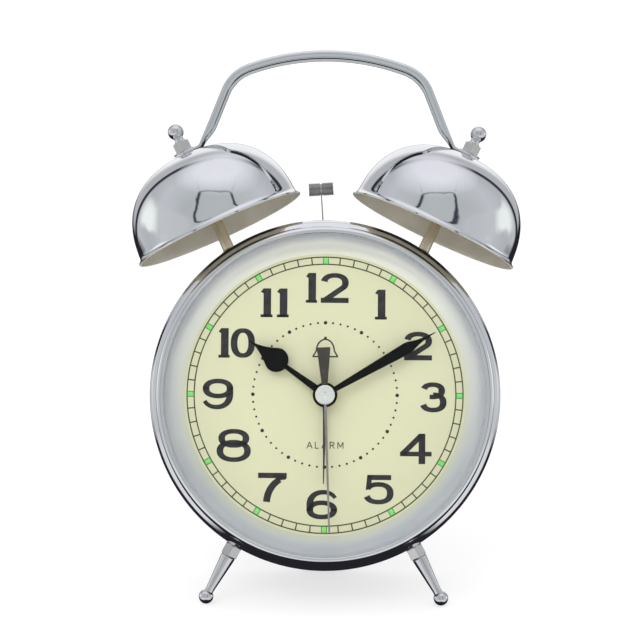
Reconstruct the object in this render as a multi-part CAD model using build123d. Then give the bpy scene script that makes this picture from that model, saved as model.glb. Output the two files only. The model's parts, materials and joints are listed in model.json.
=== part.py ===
from build123d import *
import os
from math import asin, atan2, cos, degrees, hypot, pi, radians, sin, sqrt

# A twin-bell alarm clock. Every piece is drawn in the clock's own frame, in millimetres: the
# dial axis is Y, the face looks to -Y, Z is up, and the origin is the centre of the case.
# At the end the clock is leaned back onto its two feet and the stub foot behind.

# ------------------------------------------------------------------ case, bezel and glass
CASE_R = 52.6
CASE_WALL = 0.8
CASE_FRONT_Y = -15.1
CASE_REAR_Y = 21.0
SHOULDER_R = 2.3
FLANGE_BORE_R = 48.4
BEZEL_R = 50.3
BEZEL_LIP_R = 48.1
BEZEL_FRONT_Y = -19.4
BEZEL_WALL = 0.8
BEZEL_ROUND = (1.8, 0.35)
LENS_R = 49.3
LENS_DOME_R = 48.0
LENS_RIM_Y = -18.25
LENS_THICK = 1.5
LENS_RISE = 3.15
GASKET_THICK = 0.6
REFLECTOR_INNER_R = 42.4
REFLECTOR_SHEET = 0.6
REFLECTOR_SAG = 0.8
HAMMER_SLOT = (7.6, 2.4)

# ------------------------------------------------------------------ dial and carrier
DIAL_R = 46.5
DIAL_FRONT_Y = -11.0
DIAL_THICK = 0.5
CARRIER_R = 51.5
CARRIER_FRONT_Y = -10.45
CARRIER_REAR_Y = -9.0
CARRIER_RIM = (48.6, 50.2)
GAP = 0.05

# ------------------------------------------------------------------ movement
HOUSING_X = 27.0
HOUSING_Z = (-30.0, 20.0)
HOUSING_FRONT_Y = -8.9
HOUSING_SPLIT_Y = -1.3
HOUSING_REAR_Y = 6.2
HOUSING_WALL = 1.2
PILLAR_R = 2.0
PILLAR_INSET = 2.6
SCREW_R = 0.8
SCREW_HEAD_R = 1.5
SCREW_HEAD = 0.8
BUSH_R = (1.72, 2.7)
BUSH_FRONT_Y = -12.3
NUT_R = 3.6

# coaxial tubes: inner and outer radius, and the depth where each one ends at the front
SECOND_ARBOR_R = 0.35
CANNON_R = (0.40, 0.75)
HOUR_TUBE_R = (0.80, 1.20)
ALARM_TUBE_R = (1.25, 1.65)

# hands: front and rear of each sheet
HAND_SHEET = 0.3
ALARM_HAND_Y = -12.9
HOUR_HAND_Y = -13.9
MINUTE_HAND_Y = -14.9
SECOND_HAND_Y = -15.9
HOUR_ANGLE = 305.3
MINUTE_ANGLE = 60.0
SECOND_ANGLE = 177.8
ALARM_ANGLE = 180.6

# gear trains: teeth and module (mm)
CANNON_TEETH = 12
MOTION_TEETH = 36
MOTION_MODULE = 0.375
MOTION_PINION_TEETH = 10
HOUR_TEETH = 40
HOUR_MODULE = 0.36
SET_TEETH = 18
ALARM_TEETH = 40
ALARM_SET_TEETH = 30
ALARM_MODULE = 0.375
TRAIN_MODULE = 0.3
ROTOR_TEETH = 10
FIFTH_TEETH = 50
FIFTH_PINION_TEETH = 10
SECONDS_TEETH = 60
SECONDS_PINION_TEETH = 10
THIRD_TEETH = 75
THIRD_PINION_TEETH = 10
CENTRE_TEETH = 80
STRIKE_TEETH = 28
MOTOR_TEETH = 10
STRIKE_MODULE = 0.45
GEAR_FACE = 0.8

# depth of each wheel's rear face
SECONDS_WHEEL_Y = 4.4
THIRD_WHEEL_Y = 3.0
FIFTH_WHEEL_Y = 2.8
CENTRE_WHEEL_Y = 1.0
CANNON_PINION_Y = -1.0
MOTION_WHEEL_Y = -1.3
HOUR_WHEEL_Y = -3.6
ALARM_WHEEL_Y = -5.8
RUN = 0.05
KNOB_SHAFT_R = 1.0
PIVOT_R = 0.4

# ------------------------------------------------------------------ rear cover and batteries
COVER_THICK = 1.6
COVER_RING = (49.6, 51.6)
COVER_RING_DEPTH = 2.0
BAY_X = 29.5
BAY_Z = (-39.5, -6.5)
BAY_WALL = 1.0
BAY_FLOOR_Y = 7.1
BAY_FLOOR = 0.8
DOOR_THICK = 1.0
CELL_R = 7.15
CELL_LENGTH = 49.5
CELL_NUB = (2.7, 1.0)
CELL_Y = 14.35
CELL_Z = (-31.0, -15.0)
STUB_FOOT = (14.0, 4.0)
STUB_FOOT_TOP_Z = -44.0
STUB_FOOT_EDGE_Z = -55.5
COVER_SCREW_RADIUS = 46.8
COVER_SCREW_ANGLES = (30.0, 150.0, 270.0)
COVER_SCREW_R = 1.2
KNOB_R = 5.0
KNOB_DEPTH = 6.0
KNOB_GAP = 0.6
SET_KNOB_Z = 8.77
SWITCH_AT = (-18.0, 27.0)
SWITCH_TRAVEL = 4.0

# ------------------------------------------------------------------ striking works
HAMMER_PIVOT_Z = 38.0
HAMMER_HEAD_Z = 63.3
HAMMER_TILT = 3.84
HAMMER_HEAD_R = 2.05
HAMMER_HEAD_LENGTH = 7.5
HAMMER_WIRE_R = 0.2
STRIKE_Z = 29.5
STRIKE_REAR_Y = 2.8
CRANK_R = 1.5
CRANK_PIN_R = 0.55
PLATE_Y = (3.6, 4.6)
PLATE_X = (-14.0, 18.5)
PLATE_Z = (22.0, 45.5)
PLATE_POSTS = ((-12.0, 24.0), (-12.0, 43.4), (16.4, 24.0), (16.4, 43.4))
MOTOR_R = 7.0
MOTOR_LENGTH = 14.0
MOTOR_SHAFT_R = 0.75
MOTOR_SCREW_REACH = 4.6

# ------------------------------------------------------------------ bells, posts and handle
BELL_X = 32.6
BELL_Z = 50.4
BELL_TILT = 25.0
BELL_WALL_R = 26.1
BELL_LIP_R = 27.1
BELL_HEIGHT = 25.5
BELL_SHEET = 0.7
BELL_POWER = 2.4
BELL_LIP_HEIGHT = 2.4
POST_R = 1.8
POST_STUD_R = 1.25
POST_TOP = 30.5
POST_BASE = -7.05
POST_TAIL = -12.5
WASHER = (3.5, 0.5)
BELL_NUT = (2.9, 3.0)
FINIAL_R = 2.45
FINIAL_HEIGHT = 33.4
FINIAL_NECK_R = 1.5
CASE_NUT = (3.1, 2.3)
HANDLE_WIDTH = 8.0
HANDLE_SHEET = 0.8
HANDLE_FLANGE = 2.3
HANDLE_TOP_Z = 105.9
HANDLE_TOP_R = 71.4
HANDLE_TOP_HALF = 24.4
HANDLE_CORNER_R = 13.7
HANDLE_LEG_SLOPE = 68.6
HANDLE_BEND_R = 2.0
TAB_BEYOND = 3.4

# ------------------------------------------------------------------ feet
FOOT_Y = -8.5
FOOT_BALL = (35.3, -60.8)
FOOT_SPLAY = 28.5
FOOT_BALL_R = 2.2
FOOT_LEG_R = (2.25, 1.3)
FOOT_STUD_R = 1.4
COLLAR = (2.85, 3.4)


# ================================================================== helpers
def face_plane(y):
    """A plane across the dial axis at depth y: x stays X, y is Z, and it looks to the front."""
    return Plane(origin=(0, y, 0), x_dir=(1, 0, 0), z_dir=(0, -1, 0))


def slab(sketch, front_y, rear_y):
    """A flat outline given as (x, z), made solid between two depths."""
    return extrude(face_plane(rear_y) * sketch, amount=rear_y - front_y)


def disc(x, z, radius, front_y, rear_y):
    return slab(Pos(x, z) * Circle(radius), front_y, rear_y)


def tube(x, z, inner, outer, front_y, rear_y):
    return disc(x, z, outer, front_y, rear_y) - disc(x, z, inner, front_y - 1, rear_y + 1)


def block(x0, x1, front_y, rear_y, z0, z1):
    return Pos((x0 + x1) / 2, (front_y + rear_y) / 2, (z0 + z1) / 2) * Box(
        x1 - x0, rear_y - front_y, z1 - z0
    )


def ring_of(points, rounds=()):
    """Turn an outline of (radius, depth) points about the dial axis; rounds are (point, radius)."""
    face = make_face(Polyline(*points, close=True))
    for (radius_at, depth_at), radius in rounds:
        nearest = face.vertices().sort_by(lambda v: hypot(v.X - radius_at, v.Y - depth_at))[0]
        face = fillet(nearest, radius)
    return revolve(face, axis=Axis.Y)


def turned(points):
    """Turn an outline of (radius, height) points about the local Z axis."""
    return revolve(Plane.XZ * make_face(Polyline(*points, close=True)), axis=Axis.Z)


def hexagon(radius, bore, low, high):
    body = extrude(RegularPolygon(radius, 6), amount=high - low)
    return Pos(0, 0, low) * (body - extrude(Circle(bore), amount=high - low))


def gear_outline(teeth, module, phase):
    """A clock-train gear with slim, straight-sided teeth; phase is the first tooth's angle."""
    pitch_r = teeth * module / 2
    root_r = pitch_r - 1.15 * module
    tip_r = pitch_r + 0.75 * module
    root_half = 0.36 * pi / teeth
    tip_half = 0.20 * module / tip_r
    points = []
    for tooth in range(teeth):
        middle = radians(phase) + 2 * pi * tooth / teeth
        for radius, angle in (
            (root_r, middle - root_half),
            (tip_r, middle - tip_half),
            (tip_r, middle + tip_half),
            (root_r, middle + root_half),
        ):
            points.append((radius * cos(angle), radius * sin(angle)))
    return make_face(Polyline(*points, close=True))


def gear(at, teeth, module, phase, rear_y, face=GEAR_FACE):
    return slab(Pos(*at) * gear_outline(teeth, module, phase), rear_y - face, rear_y)


def meshed_phase(first_at, first_teeth, first_phase, second_at, second_teeth):
    """The phase of a second gear whose gap takes the first gear's tooth, both in degrees."""
    towards = degrees(atan2(second_at[1] - first_at[1], second_at[0] - first_at[0]))
    ahead = (first_phase - towards) % (360 / first_teeth)
    return towards + 180 - ahead * first_teeth / second_teeth + 180 / second_teeth


def distance(first_teeth, second_teeth, module):
    return (first_teeth + second_teeth) * module / 2


def lean_back():
    """Angle at which the two ball feet and the stub foot's edge stand on one level."""
    back = COVER_Y - FOOT_Y
    rise = FOOT_BALL[1] - STUB_FOOT_EDGE_Z
    return degrees(asin(FOOT_BALL_R / hypot(back, rise)) - atan2(rise, back))


# ================================================================== places that are worked out
CENTRE = (0.0, 0.0)
MOTION_AT = (-distance(CANNON_TEETH, MOTION_TEETH, MOTION_MODULE), 0.0)
SET_REACH = distance(MOTION_TEETH, SET_TEETH, MOTION_MODULE)
TIME_SET_AT = (MOTION_AT[0] - sqrt(SET_REACH**2 - SET_KNOB_Z**2), SET_KNOB_Z)
ALARM_REACH = distance(ALARM_TEETH, ALARM_SET_TEETH, ALARM_MODULE)
ALARM_SET_AT = (sqrt(ALARM_REACH**2 - SET_KNOB_Z**2), SET_KNOB_Z)
FIFTH_AT = (0.0, distance(SECONDS_TEETH, FIFTH_PINION_TEETH, TRAIN_MODULE))
ROTOR_REACH = distance(FIFTH_TEETH, ROTOR_TEETH, TRAIN_MODULE)
ROTOR_AT = (ROTOR_REACH * cos(radians(30)), FIFTH_AT[1] + ROTOR_REACH * sin(radians(30)))
THIRD_AT = (0.0, -distance(SECONDS_PINION_TEETH, THIRD_TEETH, TRAIN_MODULE))
CENTRE_MODULE = -2 * THIRD_AT[1] / (THIRD_PINION_TEETH + CENTRE_TEETH)
STRIKE_AT = (0.0, STRIKE_Z)
MOTOR_AT = (distance(STRIKE_TEETH, MOTOR_TEETH, STRIKE_MODULE), STRIKE_Z)
HAMMER_AT = (0.0, HAMMER_PIVOT_Z)
COVER_Y = CASE_REAR_Y + COVER_THICK
LEAN = lean_back()
HOUSING_IN_FRONT_Y = HOUSING_FRONT_Y + HOUSING_WALL
HOUSING_IN_REAR_Y = HOUSING_REAR_Y - HOUSING_WALL


def bell_frame(side):
    """Frame on a bell's rim centre, its Z up the bell's axis; side is -1 left, +1 right."""
    return Pos(side * BELL_X, 0, BELL_Z) * Rot(0, side * BELL_TILT, 0)


def foot_frame(side):
    """Frame where a foot's axis leaves the case, its Z pointing down the leg."""
    ball_x, ball_z = FOOT_BALL
    along_x = sin(radians(FOOT_SPLAY))
    along_z = cos(radians(FOOT_SPLAY))
    half = ball_x * along_x - ball_z * along_z
    length = half - sqrt(half**2 - (ball_x**2 + ball_z**2 - CASE_R**2))
    root = (side * (ball_x - length * along_x), FOOT_Y, ball_z + length * along_z)
    return Pos(*root) * Rot(0, 180 - side * FOOT_SPLAY, 0), length


# ================================================================== case
def case_shell():
    inner_r = CASE_R - CASE_WALL
    flange_y = CASE_FRONT_Y + CASE_WALL
    shell = ring_of(
        [
            (FLANGE_BORE_R, CASE_FRONT_Y),
            (CASE_R, CASE_FRONT_Y),
            (CASE_R, CASE_REAR_Y),
            (inner_r, CASE_REAR_Y),
            (inner_r, flange_y),
            (FLANGE_BORE_R, flange_y),
        ],
        [((CASE_R, CASE_FRONT_Y), SHOULDER_R), ((inner_r, flange_y), SHOULDER_R - CASE_WALL)],
    )
    slot_x, slot_y = HAMMER_SLOT
    shell -= Pos(0, 0, CASE_R) * Box(slot_x, slot_y, 6)
    for side in (-1, 1):
        shell -= bell_frame(side) * Pos(0, 0, -10) * Cylinder(POST_STUD_R + 0.25, 8)
        root, length = foot_frame(side)
        shell -= root * Cylinder(FOOT_STUD_R + 0.1, 8)
    return shell


def bezel_ring():
    rear_y = CASE_FRONT_Y - GAP
    inner_r = BEZEL_R - BEZEL_WALL
    lip_y = LENS_RIM_Y - GAP
    return ring_of(
        [
            (BEZEL_R, rear_y),
            (BEZEL_R, BEZEL_FRONT_Y),
            (BEZEL_LIP_R, BEZEL_FRONT_Y),
            (BEZEL_LIP_R, lip_y),
            (inner_r, lip_y),
            (inner_r, rear_y),
        ],
        [((BEZEL_R, BEZEL_FRONT_Y), BEZEL_ROUND[0]), ((BEZEL_LIP_R, BEZEL_FRONT_Y), BEZEL_ROUND[1])],
    )


def lens():
    ball_r = (LENS_DOME_R**2 + LENS_RISE**2) / (2 * LENS_RISE)
    half_r = LENS_DOME_R / 2
    half_rise = LENS_RISE - (ball_r - sqrt(ball_r**2 - half_r**2))
    rear_y = LENS_RIM_Y + LENS_THICK
    dome_edge = (LENS_DOME_R, LENS_RIM_Y)
    outline = [
        ThreePointArc((0, LENS_RIM_Y - LENS_RISE), (half_r, LENS_RIM_Y - half_rise), dome_edge),
        Polyline(dome_edge, (LENS_R, LENS_RIM_Y), (LENS_R, rear_y), (LENS_DOME_R, rear_y)),
        ThreePointArc((LENS_DOME_R, rear_y), (half_r, rear_y - half_rise), (0, rear_y - LENS_RISE)),
        Line((0, rear_y - LENS_RISE), (0, LENS_RIM_Y - LENS_RISE)),
    ]
    return revolve(make_face(outline), axis=Axis.Y)


GASKET_Y = LENS_RIM_Y + LENS_THICK


def lens_gasket():
    return tube(0, 0, LENS_DOME_R, LENS_R, GASKET_Y, GASKET_Y + GASKET_THICK)


def bowed_mid(start, end, sag):
    """Middle point of an arc from start to end that bows outwards and to the rear by sag."""
    length = hypot(end[0] - start[0], end[1] - start[1])
    across = (abs(end[1] - start[1]) / length, abs(end[0] - start[0]) / length)
    return ((start[0] + end[0]) / 2 + sag * across[0], (start[1] + end[1]) / 2 + sag * across[1])


def reflector_ring():
    """The dished bright ring that slopes from the glass down to the edge of the dial."""
    front_y = GASKET_Y + GASKET_THICK
    rear_y = CASE_FRONT_Y - GAP
    dial_y = DIAL_FRONT_Y - GAP
    seat_r = FLANGE_BORE_R - 0.2
    outer = (seat_r - REFLECTOR_SHEET, front_y)
    inner = (REFLECTOR_INNER_R, dial_y)
    back_inner = (REFLECTOR_INNER_R + REFLECTOR_SHEET, dial_y)
    back_outer = (seat_r, rear_y)
    outline = [
        ThreePointArc(outer, bowed_mid(outer, inner, REFLECTOR_SAG), inner),
        Line(inner, back_inner),
        ThreePointArc(back_inner, bowed_mid(back_inner, back_outer, REFLECTOR_SAG), back_outer),
        Polyline(back_outer, (LENS_R, rear_y), (LENS_R, front_y), outer),
    ]
    return revolve(make_face(outline), axis=Axis.Y)


def dial_plate():
    return tube(0, 0, BUSH_R[1] + 0.1, DIAL_R, DIAL_FRONT_Y, DIAL_FRONT_Y + DIAL_THICK)


def dial_nut():
    nut = tube(0, 0, BUSH_R[1] + GAP, NUT_R, BUSH_FRONT_Y, DIAL_FRONT_Y - GAP)
    slot = block(-NUT_R - 1, NUT_R + 1, BUSH_FRONT_Y - 1, BUSH_FRONT_Y + 0.5, -0.4, 0.4)
    return nut - slot


def dial_carrier():
    """Moulded disc behind the dial; its posts carry the striking works and the rear cover."""
    carrier = disc(0, 0, CARRIER_R, CARRIER_FRONT_Y, CARRIER_REAR_Y)
    rim_front_y = CASE_FRONT_Y + CASE_WALL + GAP
    carrier += tube(0, 0, *CARRIER_RIM, rim_front_y, CARRIER_FRONT_Y)
    for x, z in PLATE_POSTS:
        carrier += disc(x, z, 1.8, CARRIER_REAR_Y, PLATE_Y[0] - GAP)
        carrier -= disc(x, z, SCREW_R + GAP, PLATE_Y[0] - 5.4, PLATE_Y[0])
    for angle in COVER_SCREW_ANGLES:
        x = COVER_SCREW_RADIUS * cos(radians(angle))
        z = COVER_SCREW_RADIUS * sin(radians(angle))
        post_y = CASE_REAR_Y - GAP
        carrier += disc(x, z, 2.6, CARRIER_REAR_Y, post_y)
        carrier -= disc(x, z, COVER_SCREW_R + GAP, post_y - 10, post_y + 1)
    carrier -= disc(0, 0, BUSH_R[1] + 0.2, CARRIER_FRONT_Y - 1, CARRIER_REAR_Y + 1)
    for side in (-1, 1):
        root, length = foot_frame(side)
        carrier -= root * Pos(0, 0, -4) * Cylinder(4.2, 9)
    return carrier


# ================================================================== movement
def housing_pillars():
    x = HOUSING_X - PILLAR_INSET
    low = HOUSING_Z[0] + PILLAR_INSET
    high = HOUSING_Z[1] - PILLAR_INSET
    return ((-x, low), (x, low), (-x, high), (x, high))


def housing_half(front_y, rear_y, in_front_y, in_rear_y):
    inset = HOUSING_WALL
    low, high = HOUSING_Z
    half = block(-HOUSING_X, HOUSING_X, front_y, rear_y, low, high)
    half = fillet(half.edges().filter_by(Axis.Y), 3.0)
    half -= block(inset - HOUSING_X, HOUSING_X - inset, in_front_y, in_rear_y, low + inset, high - inset)
    for x, z in housing_pillars():
        half += disc(x, z, PILLAR_R, front_y, rear_y)
    return half


def housing_front():
    """Front half of the movement's case, with the threaded bush that takes the dial."""
    low_y = HOUSING_IN_FRONT_Y
    half = housing_half(HOUSING_FRONT_Y, HOUSING_SPLIT_Y, low_y, HOUSING_SPLIT_Y + 1)
    half += disc(0, 0, BUSH_R[1], BUSH_FRONT_Y, HOUSING_FRONT_Y)
    half -= disc(0, 0, BUSH_R[0], BUSH_FRONT_Y - 1, low_y + 1)
    half += disc(*MOTION_AT, 0.5, low_y, MOTION_WHEEL_Y + 0.2)
    half += block(20.0, 24.6, low_y, CONTACT_Y, -6.0, -2.0)
    for at in (THIRD_AT, ROTOR_AT):
        half -= disc(*at, PIVOT_R + RUN, low_y - 0.8, low_y + 1)
    for at in (TIME_SET_AT, ALARM_SET_AT):
        half -= disc(*at, 0.6 + RUN, low_y - 0.8, low_y + 1)
    for x, z in housing_pillars():
        half -= disc(x, z, SCREW_R + GAP, HOUSING_SPLIT_Y - 5, HOUSING_SPLIT_Y + 1)
    return half


def housing_rear():
    """Rear half of the movement's case, with the stub that the fifth wheel turns on."""
    high_y = HOUSING_IN_REAR_Y
    front_y = HOUSING_SPLIT_Y + GAP
    half = housing_half(front_y, HOUSING_REAR_Y, front_y - 1, high_y)
    half += disc(*FIFTH_AT, PIVOT_R, FIFTH_WHEEL_Y - GEAR_FACE, high_y)
    for at in (CENTRE, THIRD_AT, ROTOR_AT):
        half -= disc(*at, PIVOT_R + RUN, high_y - 1, high_y + 0.8)
    for at in (TIME_SET_AT, ALARM_SET_AT):
        half -= disc(*at, KNOB_SHAFT_R + RUN, high_y - 1, HOUSING_REAR_Y + 1)
    for x, z in housing_pillars():
        half -= disc(x, z, SCREW_R + GAP, front_y - 1, HOUSING_REAR_Y + 1)
        half -= disc(x, z, SCREW_HEAD_R + GAP, HOUSING_REAR_Y - SCREW_HEAD, HOUSING_REAR_Y + 1)
    return half


def screw(x, z, shank_r, head_r, front_y, head_y, head=SCREW_HEAD):
    """A slotted screw driven from the rear: the shank's tip, then the head above head_y."""
    body = disc(x, z, shank_r, front_y, head_y) + disc(x, z, head_r, head_y, head_y + head)
    return body - block(x - head_r, x + head_r, head_y + head * 0.5, head_y + head + 1, z - 0.2, z + 0.2)


def group(pieces):
    """Several separate solids in one sub-part."""
    return Compound([solid for piece in pieces for solid in piece.solids()])


def movement_screws():
    head_y = HOUSING_REAR_Y - SCREW_HEAD
    return group(
        screw(x, z, SCREW_R, SCREW_HEAD_R, HOUSING_SPLIT_Y - 4.8, head_y) for x, z in housing_pillars()
    )


BOARD_X = (-25.2, -17.0)
BOARD_Z = (-23.0, 2.0)
BOARD_Y = (3.9, 4.9)


def circuit_board():
    """Board with the clock chip's round drop of resin and the quartz crystal's can."""
    board = block(*BOARD_X, *BOARD_Y, *BOARD_Z)
    board += disc(-21.0, -5.0, 2.6, BOARD_Y[0] - 0.9, BOARD_Y[0])
    return board + Pos(-21.0, BOARD_Y[0] - 0.9, -15.0) * Cylinder(1.0, 6.0)


STATOR_Y = (3.5, 4.3)
COIL_X = 21.0
COIL_Z = (-6.0, 9.0)


def stator():
    """Soft-iron frame round the rotor, with the bar that carries the coil."""
    iron = block(4.0, COIL_X + 1.2, *STATOR_Y, 11.9, 18.3)
    iron -= disc(*ROTOR_AT, 3.3, 0, 6)
    iron -= block(ROTOR_AT[0] - 0.2, ROTOR_AT[0] + 0.2, 0, 6, 10.0, 20.0)
    iron += block(ROTOR_AT[0] - 0.4, ROTOR_AT[0] + 0.4, *STATOR_Y, 18.5, 18.7)
    iron += block(COIL_X - 1.2, COIL_X + 1.2, *STATOR_Y, COIL_Z[0] - 2.5, 12.0)
    return max(iron.solids(), key=lambda s: s.volume)


def drive_coil():
    middle_y = (STATOR_Y[0] + STATOR_Y[1]) / 2 - 2.3
    low, high = COIL_Z
    core = block(COIL_X - 1.3, COIL_X + 1.3, STATOR_Y[0] - 0.1, STATOR_Y[1] + 0.1, low - 1, high + 1)
    winding = block(COIL_X - 3.2, COIL_X + 3.2, STATOR_Y[0] - 2.6, STATOR_Y[1] + 0.6, low, high)
    cheeks = block(COIL_X - 3.6, COIL_X + 3.6, STATOR_Y[0] - 3.0, STATOR_Y[1] + 0.65, low - 0.8, low)
    cheeks += block(COIL_X - 3.6, COIL_X + 3.6, STATOR_Y[0] - 3.0, STATOR_Y[1] + 0.65, high, high + 0.8)
    return winding + cheeks - core


# phases: every gear in a train takes its phase from the one it meshes with
MOTION_PHASE = meshed_phase(CENTRE, CANNON_TEETH, 0.0, MOTION_AT, MOTION_TEETH)
SET_PHASE = meshed_phase(MOTION_AT, MOTION_TEETH, MOTION_PHASE, TIME_SET_AT, SET_TEETH)
HOUR_PHASE = meshed_phase(MOTION_AT, MOTION_PINION_TEETH, 0.0, CENTRE, HOUR_TEETH)
ALARM_SET_PHASE = meshed_phase(CENTRE, ALARM_TEETH, 0.0, ALARM_SET_AT, ALARM_SET_TEETH)
FIFTH_PINION_PHASE = meshed_phase(CENTRE, SECONDS_TEETH, 0.0, FIFTH_AT, FIFTH_PINION_TEETH)
ROTOR_PHASE = meshed_phase(FIFTH_AT, FIFTH_TEETH, 0.0, ROTOR_AT, ROTOR_TEETH)
THIRD_PHASE = meshed_phase(CENTRE, SECONDS_PINION_TEETH, 0.0, THIRD_AT, THIRD_TEETH)
CENTRE_PHASE = meshed_phase(THIRD_AT, THIRD_PINION_TEETH, 0.0, CENTRE, CENTRE_TEETH)
MOTOR_PHASE = meshed_phase(STRIKE_AT, STRIKE_TEETH, 0.0, MOTOR_AT, MOTOR_TEETH)


def rotor():
    pinion_y = FIFTH_WHEEL_Y + 0.1
    wheel = gear(ROTOR_AT, ROTOR_TEETH, TRAIN_MODULE, ROTOR_PHASE, pinion_y, 1.1)
    wheel += disc(*ROTOR_AT, 2.9, pinion_y, 4.7)
    return wheel + disc(*ROTOR_AT, PIVOT_R, HOUSING_IN_FRONT_Y - 0.6, HOUSING_IN_REAR_Y + 0.6)


def fifth_wheel():
    wheel = gear(FIFTH_AT, FIFTH_TEETH, TRAIN_MODULE, 0.0, FIFTH_WHEEL_Y)
    rear_y = HOUSING_IN_REAR_Y - 0.2
    pinion_face = rear_y - FIFTH_WHEEL_Y
    wheel += gear(FIFTH_AT, FIFTH_PINION_TEETH, TRAIN_MODULE, FIFTH_PINION_PHASE, rear_y, pinion_face)
    return wheel - disc(*FIFTH_AT, PIVOT_R + RUN, 0, 6)


def seconds_wheel():
    """Seconds wheel, its pinion and the thin arbor that carries the second hand."""
    wheel = gear(CENTRE, SECONDS_TEETH, TRAIN_MODULE, 0.0, SECONDS_WHEEL_Y)
    pinion_face = SECONDS_WHEEL_Y - GEAR_FACE - CENTRE_WHEEL_Y - 0.6
    pinion_y = SECONDS_WHEEL_Y - GEAR_FACE
    wheel += gear(CENTRE, SECONDS_PINION_TEETH, TRAIN_MODULE, 0.0, pinion_y, pinion_face)
    return wheel + disc(0, 0, SECOND_ARBOR_R, SECOND_HAND_Y - 0.2, HOUSING_IN_REAR_Y + 0.6)


def third_wheel():
    wheel = gear(THIRD_AT, THIRD_TEETH, TRAIN_MODULE, THIRD_PHASE, THIRD_WHEEL_Y)
    pinion_y = THIRD_WHEEL_Y - GEAR_FACE
    pinion_face = pinion_y - CENTRE_WHEEL_Y + GEAR_FACE + 0.3
    wheel += gear(THIRD_AT, THIRD_PINION_TEETH, CENTRE_MODULE, 0.0, pinion_y, pinion_face)
    return wheel + disc(*THIRD_AT, PIVOT_R, HOUSING_IN_FRONT_Y - 0.6, HOUSING_IN_REAR_Y + 0.6)


def centre_wheel():
    """Wheel that the train drives; it grips the cannon tube by friction, and slips when set."""
    wheel = gear(CENTRE, CENTRE_TEETH, CENTRE_MODULE, CENTRE_PHASE, CENTRE_WHEEL_Y)
    wheel += disc(0, 0, 2.0, CENTRE_WHEEL_Y - GEAR_FACE - 0.5, CENTRE_WHEEL_Y - GEAR_FACE)
    return wheel - disc(0, 0, CANNON_R[1] + 0.02, -2, 2)


def cannon_tube():
    pinion = gear(CENTRE, CANNON_TEETH, MOTION_MODULE, 0.0, CANNON_PINION_Y, 1.6)
    pipe = pinion + disc(0, 0, CANNON_R[1], MINUTE_HAND_Y - 0.1, CENTRE_WHEEL_Y + 0.3)
    return pipe - disc(0, 0, CANNON_R[0], MINUTE_HAND_Y - 1, 3)


def motion_wheel():
    wheel = gear(MOTION_AT, MOTION_TEETH, MOTION_MODULE, MOTION_PHASE, MOTION_WHEEL_Y)
    pinion_y = MOTION_WHEEL_Y - GEAR_FACE
    pinion_face = pinion_y - HOUR_WHEEL_Y + GEAR_FACE + 0.3
    wheel += gear(MOTION_AT, MOTION_PINION_TEETH, HOUR_MODULE, 0.0, pinion_y, pinion_face)
    return wheel - disc(*MOTION_AT, 0.5 + RUN, -8, 0)


def hour_wheel():
    wheel = gear(CENTRE, HOUR_TEETH, HOUR_MODULE, HOUR_PHASE, HOUR_WHEEL_Y)
    wheel += disc(0, 0, HOUR_TUBE_R[1], HOUR_HAND_Y - 0.1, HOUR_WHEEL_Y)
    return wheel - disc(0, 0, HOUR_TUBE_R[0], HOUR_HAND_Y - 1, HOUR_WHEEL_Y + 1)


def alarm_wheel():
    wheel = gear(CENTRE, ALARM_TEETH, ALARM_MODULE, 0.0, ALARM_WHEEL_Y)
    wheel += disc(0, 0, ALARM_TUBE_R[1], ALARM_HAND_Y - 0.1, ALARM_WHEEL_Y)
    return wheel - disc(0, 0, ALARM_TUBE_R[0], ALARM_HAND_Y - 1, ALARM_WHEEL_Y + 1)


CONTACT_Y = -5.25


def alarm_contact():
    """Leaf spring that the hour wheel presses when its cam drops at the set time."""
    leaf = block(5.0, 24.4, CONTACT_Y, CONTACT_Y + 0.2, -5.2, -2.8)
    return leaf - disc(0, 0, 4.8, -8, 0)


def setting_pinion(at, teeth, module, phase, rear_y):
    shaft = gear(at, teeth, module, phase, rear_y)
    shaft += disc(*at, 0.6, HOUSING_IN_FRONT_Y - 0.6, rear_y)
    return shaft + disc(*at, KNOB_SHAFT_R, rear_y, COVER_Y + KNOB_GAP + 4.0)


def time_set_pinion():
    return setting_pinion(TIME_SET_AT, SET_TEETH, MOTION_MODULE, SET_PHASE, MOTION_WHEEL_Y)


def alarm_set_pinion():
    return setting_pinion(ALARM_SET_AT, ALARM_SET_TEETH, ALARM_MODULE, ALARM_SET_PHASE, ALARM_WHEEL_Y)


def setting_knob(at):
    """Ribbed knob on a setting shaft, behind the rear cover."""
    front_y = COVER_Y + KNOB_GAP
    ribs = 24
    rib_module = 2 * KNOB_R / ribs
    knob = slab(Pos(*at) * gear_outline(ribs, rib_module, 0.0), front_y, front_y + KNOB_DEPTH)
    knob += disc(*at, KNOB_R - 0.5, front_y, front_y + KNOB_DEPTH + 0.4)
    return knob - disc(*at, KNOB_SHAFT_R + 0.01, front_y - 1, front_y + 4.05)


# ================================================================== hands
def hand(outline, angle, hub_r, bore_r, front_y):
    """A hand drawn pointing to twelve, turned to its clock angle, with its hub and bore."""
    blade = Rot(0, 0, -angle) * (outline + Circle(hub_r)) - Circle(bore_r)
    return slab(blade, front_y, front_y + HAND_SHEET)


def tapered(width_low, width_high, low, high):
    left, right = width_low / 2, width_high / 2
    return make_face(Polyline((-left, low), (left, low), (right, high), (-right, high), close=True))


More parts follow.
